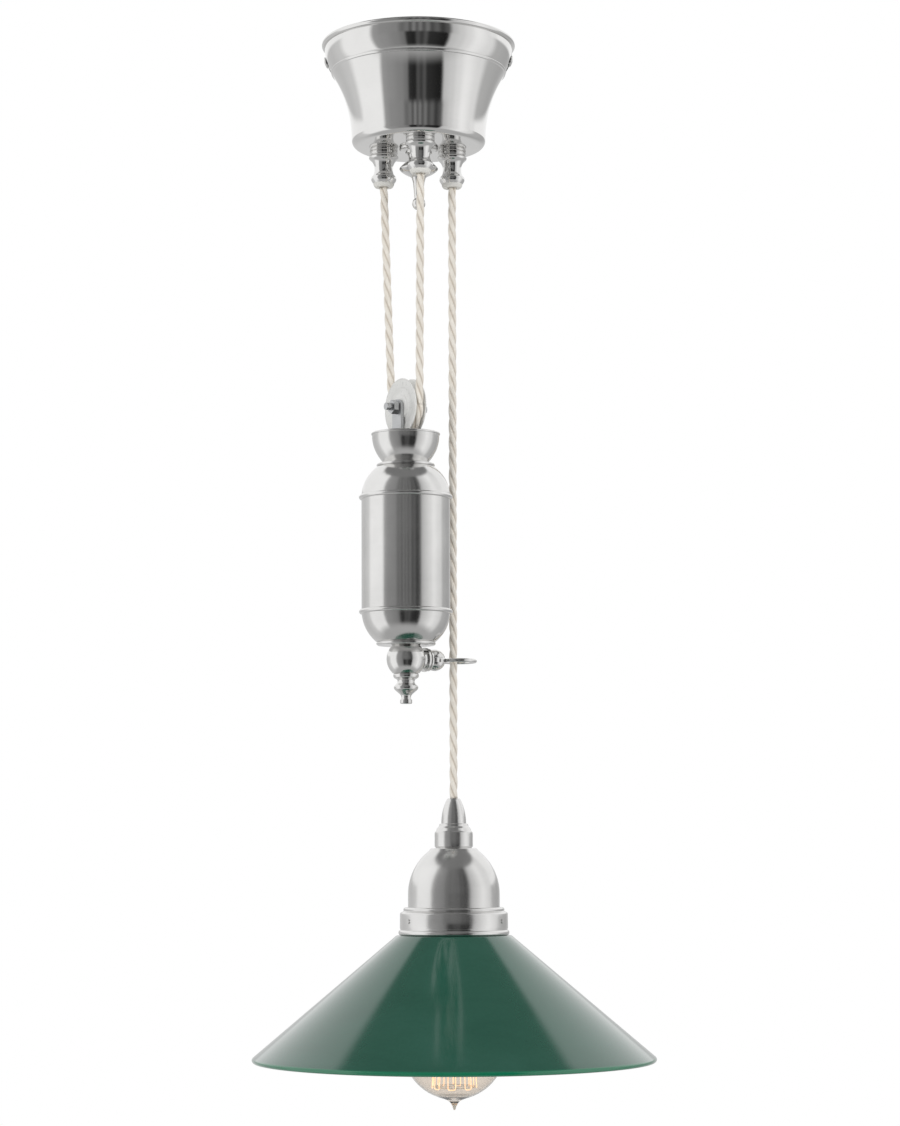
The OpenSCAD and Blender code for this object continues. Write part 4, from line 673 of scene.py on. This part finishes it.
# the filament: a fine wire, laid up and down between the two hoops
HOOP_TOP_R, HOOP_LOW_R = 0.28 * BULB_R, 0.41 * BULB_R
HOOP_TOP_Z, HOOP_LOW_Z = CAP_FOOT - 0.43 * GLOBE_DROP - 2, GLOBE_Z - 0.75 * BULB_R - 1
LOOPS, WIRE_R, HOOP_GAP, BEND = 16, 0.3, 0.75, 1.2
route = []
for i in range(2 * LOOPS - 1):
    low = ((i + 1) // 2) % 2 == 0
    a = math.radians(360 * (i // 2) / LOOPS + (i % 2) * 3)
    r, z = (HOOP_LOW_R, HOOP_LOW_Z) if low else (HOOP_TOP_R, HOOP_TOP_Z)
    r += HOOP_GAP
    route.append(Vector((RIGHT.x + r * math.cos(a), RIGHT.y + r * math.sin(a), z)))


def tube(name, path, r, body, node, slot, sides=8):
    """A round wire along a path in mm, with closed ends."""
    verts, faces = [], []
    n = Vector((0.31, 0.2, 1)).normalized()
    for i, p in enumerate(path):
        t = (path[min(i + 1, len(path) - 1)] - path[max(i - 1, 0)]).normalized()
        n = n - t * n.dot(t)
        n = n.normalized() if n.length > 1e-4 else t.orthogonal().normalized()
        b = t.cross(n)
        for k in range(sides):
            a = 2 * math.pi * k / sides
            verts.append((p + r * (n * math.cos(a) + b * math.sin(a))) * MM)
    for i in range(len(path) - 1):
        for k in range(sides):
            k2 = (k + 1) % sides
            faces.append((i * sides + k, i * sides + k2, (i + 1) * sides + k2, (i + 1) * sides + k))
    faces.append(tuple(range(sides))[::-1])
    faces.append(tuple((len(path) - 1) * sides + k for k in range(sides)))
    mesh = new_mesh(name, verts, faces)
    finish_mesh(mesh, 50)
    obj = new_object(name, mesh)
    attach(obj, body)
    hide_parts(node)
    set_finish(obj, slot)


# the wire's turns are rounded where it hangs over a hoop
turned_path = [route[0]]
for a, b, c in zip(route, route[1:], route[2:]):
    s = b + (a - b).normalized() * min(BEND, (a - b).length * 0.4)
    e = b + (c - b).normalized() * min(BEND, (c - b).length * 0.4)
    turned_path += [s, (s + 2 * b + e) / 4, e]
turned_path.append(route[-1])
tube("filament_wire", turned_path, WIRE_R, "lamp", "filament", "filament")

# ---------------------------------------------------------------- materials
# Every finish is built from nodes. Turned pieces carry a UV map with the turn in u and the outline's
# length in v, in steps of 100 mm, so tool marks run round them.


class Mat:
    def __init__(self, name):
        self.m = bpy.data.materials.new(name)
        self.m.use_nodes = True
        self.t = self.m.node_tree
        self.b = self.t.nodes["Principled BSDF"]
        self.out = self.t.nodes["Material Output"]

    def node(self, kind, **values):
        n = self.t.nodes.new(kind)
        for k, v in values.items():
            if k in n.inputs:
                n.inputs[k].default_value = v
            else:
                setattr(n, k, v)
        return n

    def link(self, a, b):
        self.t.links.new(a, b)

    def set(self, **values):
        for k, v in values.items():
            self.b.inputs[k.replace("_", " ")].default_value = v
        return self

    def coords(self, kind, scale):
        c = self.node("ShaderNodeTexCoord")
        m = self.node("ShaderNodeMapping")
        m.inputs["Scale"].default_value = scale
        self.link(c.outputs[kind], m.inputs["Vector"])
        return m.outputs["Vector"]

    def noise(self, vector, scale=1.0, detail=3.0, rough=0.5, distortion=0.0):
        n = self.node("ShaderNodeTexNoise")
        n.inputs["Scale"].default_value = scale
        n.inputs["Detail"].default_value = detail
        n.inputs["Roughness"].default_value = rough
        n.inputs["Distortion"].default_value = distortion
        self.link(vector, n.inputs["Vector"])
        return n.outputs["Fac"]

    def ramp(self, value, stops):
        r = self.node("ShaderNodeValToRGB")
        while len(r.color_ramp.elements) < len(stops):
            r.color_ramp.elements.new(0.5)
        for e, (p, c) in zip(r.color_ramp.elements, stops):
            e.position = p
            e.color = (*c, 1) if hasattr(c, "__len__") else (c, c, c, 1)
        self.link(value, r.inputs["Fac"])
        return r.outputs["Color"]

    def span(self, value, low, high, a, b):
        r = self.node("ShaderNodeMapRange")
        r.inputs["From Min"].default_value = low
        r.inputs["From Max"].default_value = high
        r.inputs["To Min"].default_value = a
        r.inputs["To Max"].default_value = b
        self.link(value, r.inputs["Value"])
        return r.outputs["Result"]

    def math(self, operation, a, b=None):
        n = self.node("ShaderNodeMath", operation=operation)
        for i, v in enumerate((a, b)):
            if v is None:
                continue
            if isinstance(v, (int, float)):
                n.inputs[i].default_value = v
            else:
                self.link(v, n.inputs[i])
        return n.outputs[0]

    def bump(self, height, distance, strength=1.0, base=None):
        n = self.node("ShaderNodeBump")
        n.inputs["Distance"].default_value = distance
        n.inputs["Strength"].default_value = strength
        self.link(height, n.inputs["Height"])
        if base is not None:
            self.link(base, n.inputs["Normal"])
        return n.outputs["Normal"]


def metal(name, tint, rough, turned, marks=0.3, spread=0.05, dark=0.9, cloud=28.0):
    """Polished or turned metal: faint clouding in colour, uneven gloss, and fine tool marks."""
    m = Mat(name)
    m.set(Metallic=1.0)
    big = m.noise(m.coords("Object", (1, 1, 1)), cloud, 4, 0.6)
    fine = m.noise(m.coords("Object", (1, 1, 1)), 900, 2, 0.6)
    along = m.coords("UV", (2.0, 420.0, 1)) if turned else m.coords("Object", (60, 60, 1600))
    lines = m.noise(along, 1.0, 3, 0.7)
    worn = m.math("ADD", m.math("MULTIPLY", big, 0.7), m.math("MULTIPLY", lines, 0.3))
    m.link(m.ramp(worn, [(0.3, tuple(c * dark for c in tint)), (0.62, tint)]), m.b.inputs["Base Color"])
    mix = m.math("ADD", m.math("MULTIPLY", big, 0.6), m.math("MULTIPLY", fine, 0.4))
    m.link(m.span(mix, 0.3, 0.7, rough - spread, rough + spread), m.b.inputs["Roughness"])
    n = m.bump(lines, 0.00002, marks)
    n = m.bump(fine, 0.000008, marks, n)
    m.link(n, m.b.inputs["Normal"])
    return m.m


NICKEL = (0.80, 0.795, 0.785)
polished = metal("polished_nickel_turned", NICKEL, 0.065, True, 0.18, 0.02, 0.93)
polished_cad = metal("polished_nickel_plain", NICKEL, 0.09, False, 0.2, 0.02, 0.93)
satin = metal("satin_nickel_turned", NICKEL, 0.15, True, 0.4, 0.04, 0.86)
satin_cad = metal("satin_nickel_plain", NICKEL, 0.16, False, 0.35, 0.04, 0.9)
soft = metal("soft_nickel_turned", NICKEL, 0.2, True, 0.6, 0.05, 0.86)
zinc = metal("zinc_steel", (0.62, 0.63, 0.64), 0.36, False, 0.4, 0.08, 0.8, 60)
iron = metal("cast_iron_fill", (0.16, 0.155, 0.15), 0.62, False, 1.2, 0.1, 0.6, 120)
brass = metal("brass_fittings", (0.80, 0.62, 0.33), 0.24, False, 0.4, 0.06, 0.82, 50)


def glossy_ware(name, pale, deep, rough, grain, distance, coat=0.0):
    """Moulded plastic or glazed porcelain: slight mottling, uneven gloss and a fine surface grain."""
    m = Mat(name)
    v = m.coords("Object", (1, 1, 1))
    big = m.noise(v, 35, 3, 0.55)
    fine = m.noise(v, grain, 3, 0.6)
    m.link(m.ramp(m.math("ADD", m.math("MULTIPLY", big, 0.65), m.math("MULTIPLY", fine, 0.35)),
                  [(0.32, deep), (0.62, pale)]), m.b.inputs["Base Color"])
    m.link(m.span(fine, 0.3, 0.7, rough - 0.05, rough + 0.07), m.b.inputs["Roughness"])
    m.link(m.bump(m.math("ADD", m.math("MULTIPLY", big, 0.5), fine), distance, 0.5), m.b.inputs["Normal"])
    m.set(Coat_Weight=coat, Coat_Roughness=0.08)
    return m.m


plastic = glossy_ware("white_plastic", (0.80, 0.79, 0.76), (0.73, 0.72, 0.68), 0.36, 1400, 0.00003)
porcelain = glossy_ware("white_wheel", (0.80, 0.80, 0.78), (0.72, 0.72, 0.70), 0.3, 500, 0.00004, 0.25)
ivory = glossy_ware("holder_porcelain", (0.78, 0.76, 0.70), (0.70, 0.68, 0.61), 0.26, 420, 0.00005, 0.4)


def braided_cord():
    """Cream braid over each core: crossing yarns on the lobes, and painted shade where the lobes meet."""
    m = Mat("cream_braid")
    c = m.node("ShaderNodeTexCoord")
    s = m.node("ShaderNodeSeparateXYZ")
    m.link(c.outputs["UV"], s.inputs["Vector"])
    u, v = s.outputs["X"], s.outputs["Y"]
    # 18 yarns round the cord, and 23 in a turn of the lay along it
    across, along = m.math("MULTIPLY", u, 18 * 2 * math.pi), m.math("MULTIPLY", v, 23 * 2 * math.pi)
    a, b = m.math("ADD", across, along), m.math("SUBTRACT", across, along)
    yarn = m.math("MULTIPLY", m.math("SINE", a), m.math("SINE", b))
    # shade is painted into the lobes' valleys, which lie a sixth, a half and five sixths round
    painted_valley_shade = m.math("POWER", m.math("ABSOLUTE", m.math("SINE", m.math("MULTIPLY", u, 3 * math.pi))), 9.0)
    cloud = m.noise(m.coords("Object", (1, 1, 1)), 130, 3, 0.6)
    fuzz = m.noise(m.coords("Object", (1, 1, 1)), 2600, 2, 0.7)
    tone = m.math("ADD", m.math("MULTIPLY", yarn, 0.14), m.math("MULTIPLY", cloud, 0.55))
    tone = m.math("ADD", tone, m.math("MULTIPLY", fuzz, 0.25))
    pale = m.ramp(tone, [(0.22, (0.84, 0.78, 0.69)), (0.45, (0.93, 0.88, 0.80)), (0.66, (0.97, 0.93, 0.87))])
    mix = m.node("ShaderNodeMix", data_type="RGBA")
    m.link(m.math("MULTIPLY", painted_valley_shade, 0.65), mix.inputs[0])
    m.link(pale, mix.inputs[6])
    # the colour of the painted shade in the valleys
    mix.inputs[7].default_value = (0.50, 0.42, 0.33, 1)
    m.link(mix.outputs[2], m.b.inputs["Base Color"])
    m.link(m.span(fuzz, 0.3, 0.7, 0.68, 0.85), m.b.inputs["Roughness"])
    m.set(Sheen_Weight=0.25, Sheen_Roughness=0.5)
    h = m.math("ADD", m.math("MULTIPLY", yarn, 0.6), m.math("MULTIPLY", fuzz, 0.5))
    m.link(m.bump(h, 0.00012, 0.8), m.b.inputs["Normal"])
    return m.m


def sleeve():
    """Brown sleeve of the single cores in the lampholder."""
    m = Mat("core_sleeve")
    v = m.coords("Object", (1, 1, 1))
    n = m.noise(v, 700, 3, 0.6)
    m.link(m.ramp(n, [(0.3, (0.42, 0.30, 0.20)), (0.7, (0.58, 0.45, 0.32))]), m.b.inputs["Base Color"])
    m.link(m.span(n, 0.3, 0.7, 0.45, 0.6), m.b.inputs["Roughness"])
    m.link(m.bump(n, 0.00003, 0.5), m.b.inputs["Normal"])
    return m.m


def shade_glass(rim_from, rim_to):
    """Cased glass: dark green outside, opal white inside, and a painted glow of light through the glass, in
    clear bright green, where the rim shows it.
    rim_from and rim_to are the rim's ends in UV v, which runs down the outside and up the inside."""
    m = Mat("green_cased_glass")
    v = m.coords("Object", (1, 1, 1))
    swirl = m.noise(m.coords("Object", (1, 1, 2.4)), 16, 4, 0.55, 0.6)
    seeds = m.noise(v, 420, 2, 0.5)
    tone = m.math("ADD", m.math("MULTIPLY", swirl, 0.8), m.math("MULTIPLY", seeds, 0.2))
    green = m.ramp(tone, [(0.3, (0.006, 0.070, 0.043)), (0.5, (0.009, 0.080, 0.050)),
                          (0.7, (0.013, 0.090, 0.059))])
    opal = m.ramp(tone, [(0.3, (0.74, 0.75, 0.72)), (0.7, (0.83, 0.83, 0.80))])
    c = m.node("ShaderNodeTexCoord")
    uv = m.node("ShaderNodeSeparateXYZ")
    m.link(c.outputs["UV"], uv.inputs["Vector"])
    is_inside = m.span(uv.outputs["Y"], rim_to - 0.004, rim_to + 0.004, 0, 1)
    painted_rim_glow = m.math("MULTIPLY", m.span(uv.outputs["Y"], rim_from - 0.008, rim_from + 0.006, 0, 1),
                    m.span(uv.outputs["Y"], rim_to - 0.006, rim_to + 0.002, 1, 0))
    one = m.node("ShaderNodeMix", data_type="RGBA")
    m.link(is_inside, one.inputs[0])
    m.link(green, one.inputs[6])
    m.link(opal, one.inputs[7])
    two = m.node("ShaderNodeMix", data_type="RGBA")
    m.link(painted_rim_glow, two.inputs[0])
    m.link(one.outputs[2], two.inputs[6])
    # painted glow: the rim's bright green stands for light shining through the glass edge
    two.inputs[7].default_value = (0.0, 0.16, 0.075, 1)
    m.link(two.outputs[2], m.b.inputs["Base Color"])
    m.link(m.span(swirl, 0.3, 0.7, 0.10, 0.16), m.b.inputs["Roughness"])
    m.link(m.bump(tone, 0.0004, 0.12), m.b.inputs["Normal"])
    m.set(IOR=1.52, Coat_Weight=0.9, Coat_Roughness=0.08)
    return m.m


def clear_glass(name, tint, rough):
    """Thin blown glass, that takes the tint over a whole wall."""
    m = Mat(name)
    v = m.coords("Object", (1, 1, 1))
    n = m.noise(v, 40, 3, 0.5)
    m.link(m.ramp(n, [(0.3, tuple(c * 0.97 for c in tint)), (0.7, tint)]), m.b.inputs["Base Color"])
    m.link(m.span(n, 0.3, 0.7, rough, rough + 0.02), m.b.inputs["Roughness"])
    m.link(m.bump(n, 0.0002, 0.08), m.b.inputs["Normal"])
    m.set(Transmission_Weight=1.0, IOR=1.45)
    # light passes straight through, so that the envelope throws no black shadow
    path = m.node("ShaderNodeLightPath")
    clear = m.node("ShaderNodeBsdfTransparent")
    clear.inputs["Color"].default_value = (*tint, 1)
    mix = m.node("ShaderNodeMixShader")
    m.link(path.outputs["Is Shadow Ray"], mix.inputs[0])
    m.link(m.b.outputs[0], mix.inputs[1])
    m.link(clear.outputs[0], mix.inputs[2])
    m.link(mix.outputs[0], m.out.inputs["Surface"])
    return m.m


def glowing_wire():
    """The filament, dimmed to an orange glow."""
    m = Mat("glowing_filament")
    v = m.coords("Object", (1, 1, 1))
    n = m.noise(v, 900, 2, 0.6)
    m.link(m.ramp(n, [(0.3, (0.35, 0.16, 0.05)), (0.7, (0.6, 0.3, 0.1))]), m.b.inputs["Base Color"])
    m.link(m.ramp(n, [(0.3, (1.0, 0.55, 0.26)), (0.7, (1.0, 0.76, 0.52))]), m.b.inputs["Emission Color"])
    m.set(Emission_Strength=1.7, Roughness=0.5)
    return m.m


def outline_v(outline, stop):
    """UV v where an outline first comes to the point stop, as lathe lays it."""
    length, last = 0.0, None
    for p in outline:
        q = Vector((float(p[0]), float(p[1])))
        if last is None:
            last = q
        elif (q - last).length > SAME:
            length += (q - last).length
            last = q
        if (q - stop).length < 0.05:
            return length / UV_STEP


braid = braided_cord()
core = sleeve()
cased = shade_glass(outline_v(shade_outline, outer_edge), outline_v(shade_outline, inner_edge))
envelope = clear_glass("bulb_glass_warm", (0.88, 0.825, 0.765), 0.0)
stem_glass = clear_glass("bulb_stem_glass", (0.93, 0.93, 0.90), 0.05)
glow = glowing_wire()

# what a piece of each slot wears; where two are named, the second is for carried-over CAD nodes
by_slot = {"polished_nickel": (polished, polished_cad), "satin_nickel": (satin, satin_cad),
           "zinc_steel": (zinc,), "iron": (iron,), "brass_fittings": (brass,), "white_plastic": (plastic,),
           "porcelain": (ivory,), "cream_cord": (braid,), "wire_sleeve": (core,), "green_glass": (cased,),
           "bulb_glass": (envelope,), "clear_glass": (stem_glass,), "filament": (glow,)}


def dress(obj, material):
    if not obj.material_slots:
        obj.data.materials.append(material)
    for s in obj.material_slots:
        s.material = material


node_slot = {p["node"]: p["material_slot"] for p in frame["record"]["subparts"]}
for name, obj in nodes.items():
    slot = node_slot.get(name, "polished_nickel")
    dress(obj, by_slot[slot][-1])
dress(nodes["ceiling_pulley"], porcelain)
for obj in list(scene.objects):
    if obj.type == "MESH" and obj.get("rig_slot"):
        dress(obj, by_slot[obj["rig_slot"]][0])
dress(bpy.data.objects["weight_wheel"], porcelain)
for name in ("nose_cone_turned", "collar_turned", "holder_dome_turned", "gallery_turned"):
    dress(bpy.data.objects[name], soft)

# ---------------------------------------------------------------- studio


def world_light():
    """White behind for the camera and through glass, and a plain grey level on matt surfaces. Reflections
    see a studio: panels at either side, a darker front, and a white wall behind."""
    world = bpy.data.worlds.new("studio")
    scene.world = world
    world.use_nodes = True
    t = world.node_tree
    t.nodes.clear()
    out = t.nodes.new("ShaderNodeOutputWorld")
    path = t.nodes.new("ShaderNodeLightPath")
    coords = t.nodes.new("ShaderNodeTexCoord")
    parts = t.nodes.new("ShaderNodeSeparateXYZ")
    t.links.new(coords.outputs["Generated"], parts.inputs["Vector"])

    def span(value, low, high, kind="LINEAR"):
        n = t.nodes.new("ShaderNodeMapRange")
        n.interpolation_type = kind
        n.inputs["From Min"].default_value = low
        n.inputs["From Max"].default_value = high
        t.links.new(value, n.inputs["Value"])
        return n.outputs["Result"]

    def mixed(share, a, b):
        """Colour a, or b where share is 1; each is a socket or a plain level."""
        n = t.nodes.new("ShaderNodeMix")
        n.data_type = "RGBA"
        t.links.new(share, n.inputs[0])
        for socket, colour in ((n.inputs[6], a), (n.inputs[7], b)):
            if isinstance(colour, float):
                socket.default_value = (colour, colour, colour, 1)
            else:
                t.links.new(colour, socket)
        return n.outputs[2]

    def blend_up(low, high, a, b):
        """a below the height low, b above high."""
        return mixed(span(parts.outputs["Z"], low, high, "SMOOTHSTEP"), a, b)

    back = t.nodes.new("ShaderNodeMath")
    back.operation = "MULTIPLY"
    back.inputs[1].default_value = -1
    t.links.new(parts.outputs["Y"], back.inputs[0])
    turn = t.nodes.new("ShaderNodeMath")
    turn.operation = "ARCTAN2"            # 0 towards the front (-Y), growing to the right (+X)
    t.links.new(parts.outputs["X"], turn.inputs[0])
    t.links.new(back.outputs[0], turn.inputs[1])
    place = span(turn.outputs[0], -math.pi, math.pi)

    def round_ramp(front):
        """Levels round the studio; front gives the part between -50 and 45 degrees."""
        stops = ([(-180, 0.66), (-140, 0.60), (-118, 0.68), (-104, 1.0), (-66, 1.0), (-58, 0.36)] + front
                 + [(52, 0.72), (62, 0.85), (75, 1.0), (98, 0.84), (112, 0.5), (140, 0.44), (165, 0.62),
                    (180, 0.66)])
        ramp = t.nodes.new("ShaderNodeValToRGB")
        ramp.color_ramp.interpolation = "EASE"
        while len(ramp.color_ramp.elements) < len(stops):
            ramp.color_ramp.elements.new(0.5)
        for e, (deg, level) in zip(ramp.color_ramp.elements, stops):
            e.position = (deg + 180) / 360
            e.color = (level, level, level, 1)
        t.links.new(place, ramp.inputs["Fac"])
        return ramp.outputs["Color"]

    streaks = round_ramp([(-48, 0.30), (-30, 0.27), (-22, 0.16), (-16, 0.20), (-12, 0.10), (-8, 0.24),
                          (-4, 0.11), (0, 0.22), (4, 0.10), (9, 0.20), (14, 0.08), (20, 0.13), (27, 0.05),
                          (34, 0.10), (42, 0.58)])
    deep = round_ramp([(-48, 0.32), (-30, 0.26), (-21, 0.20), (-16, 0.03), (-8, 0.02), (-3, 0.09), (2, 0.05),
                       (7, 0.10), (12, 0.03), (33, 0.015), (40, 0.62)])
    # from the ground up: pale, deep bands, streaks, the white wall above them at the back, and dim overhead
    wall = mixed(span(parts.outputs["Y"], 0.0, 0.35), streaks, 1.0)
    low = blend_up(-0.80, -0.55, 0.45, deep)
    middle = blend_up(-0.14, -0.02, low, streaks)
    bands = blend_up(0.13, 0.20, middle, wall)
    studio = blend_up(0.79, 0.84, bands, 0.20)

    def shader(colour):
        n = t.nodes.new("ShaderNodeBackground")
        if isinstance(colour, float):
            n.inputs["Color"].default_value = (colour, colour, colour, 1)
        else:
            t.links.new(colour, n.inputs["Color"])
        return n.outputs[0]

    def choose(test, no, yes):
        n = t.nodes.new("ShaderNodeMixShader")
        t.links.new(path.outputs[test], n.inputs[0])
        t.links.new(no, n.inputs[1])
        t.links.new(yes, n.inputs[2])
        return n.outputs[0]

    s = choose("Is Glossy Ray", shader(0.68), shader(studio))
    s = choose("Is Transmission Ray", s, shader(1.0))
    s = choose("Is Camera Ray", s, shader(1.0))
    t.links.new(s, out.inputs["Surface"])


world_light()


LAMP_AIM = (0, 0, -0.33)       # the pendant's middle


def soft_lamp(name, place, size, watts):
    data = bpy.data.lights.new(name, "AREA")
    data.shape = "RECTANGLE"
    data.size, data.size_y = size
    data.energy = watts
    obj = new_object(name, data)
    obj.location = place
    obj.rotation_euler = (Vector(LAMP_AIM) - Vector(place)).to_track_quat("-Z", "Y").to_euler()
    obj.visible_camera = False
    obj.visible_glossy = False


soft_lamp("lamp_left", (-1.9, -1.7, 0.5), (1.2, 1.6), 17)
soft_lamp("lamp_right", (1.9, -1.5, 0.2), (1.2, 1.6), 14)
soft_lamp("lamp_top", (0.2, 0.6, 2.2), (1.4, 1.4), 8)

# floor, well under the pendant at its lowest
bm = bmesh.new()
bmesh.ops.create_grid(bm, x_segments=8, y_segments=8, size=5.0)
floor_mesh = bpy.data.meshes.new("floor")
bm.to_mesh(floor_mesh)
bm.free()
floor = new_object("floor", floor_mesh)
floor.location = (0, 0, -1.9)
floor.visible_glossy = False
pale = Mat("pale_floor")
grain = pale.noise(pale.coords("Object", (1, 1, 1)), 6, 5, 0.55)
pale.link(pale.ramp(grain, [(0.3, (0.80, 0.80, 0.79)), (0.7, (0.84, 0.84, 0.83))]), pale.b.inputs["Base Color"])
pale.link(pale.span(grain, 0.3, 0.7, 0.75, 0.9), pale.b.inputs["Roughness"])
white = pale.node("ShaderNodeEmission")
white.inputs["Color"].default_value = (1, 1, 1, 1)
lift = pale.node("ShaderNodeMixShader")
path = pale.node("ShaderNodeLightPath")
pale.link(pale.math("MULTIPLY", path.outputs["Is Camera Ray"], 0.5), lift.inputs[0])
pale.link(pale.b.outputs[0], lift.inputs[1])
pale.link(white.outputs[0], lift.inputs[2])
pale.link(lift.outputs[0], pale.out.inputs["Surface"])
dress(floor, pale.m)

bpy.context.view_layer.update()
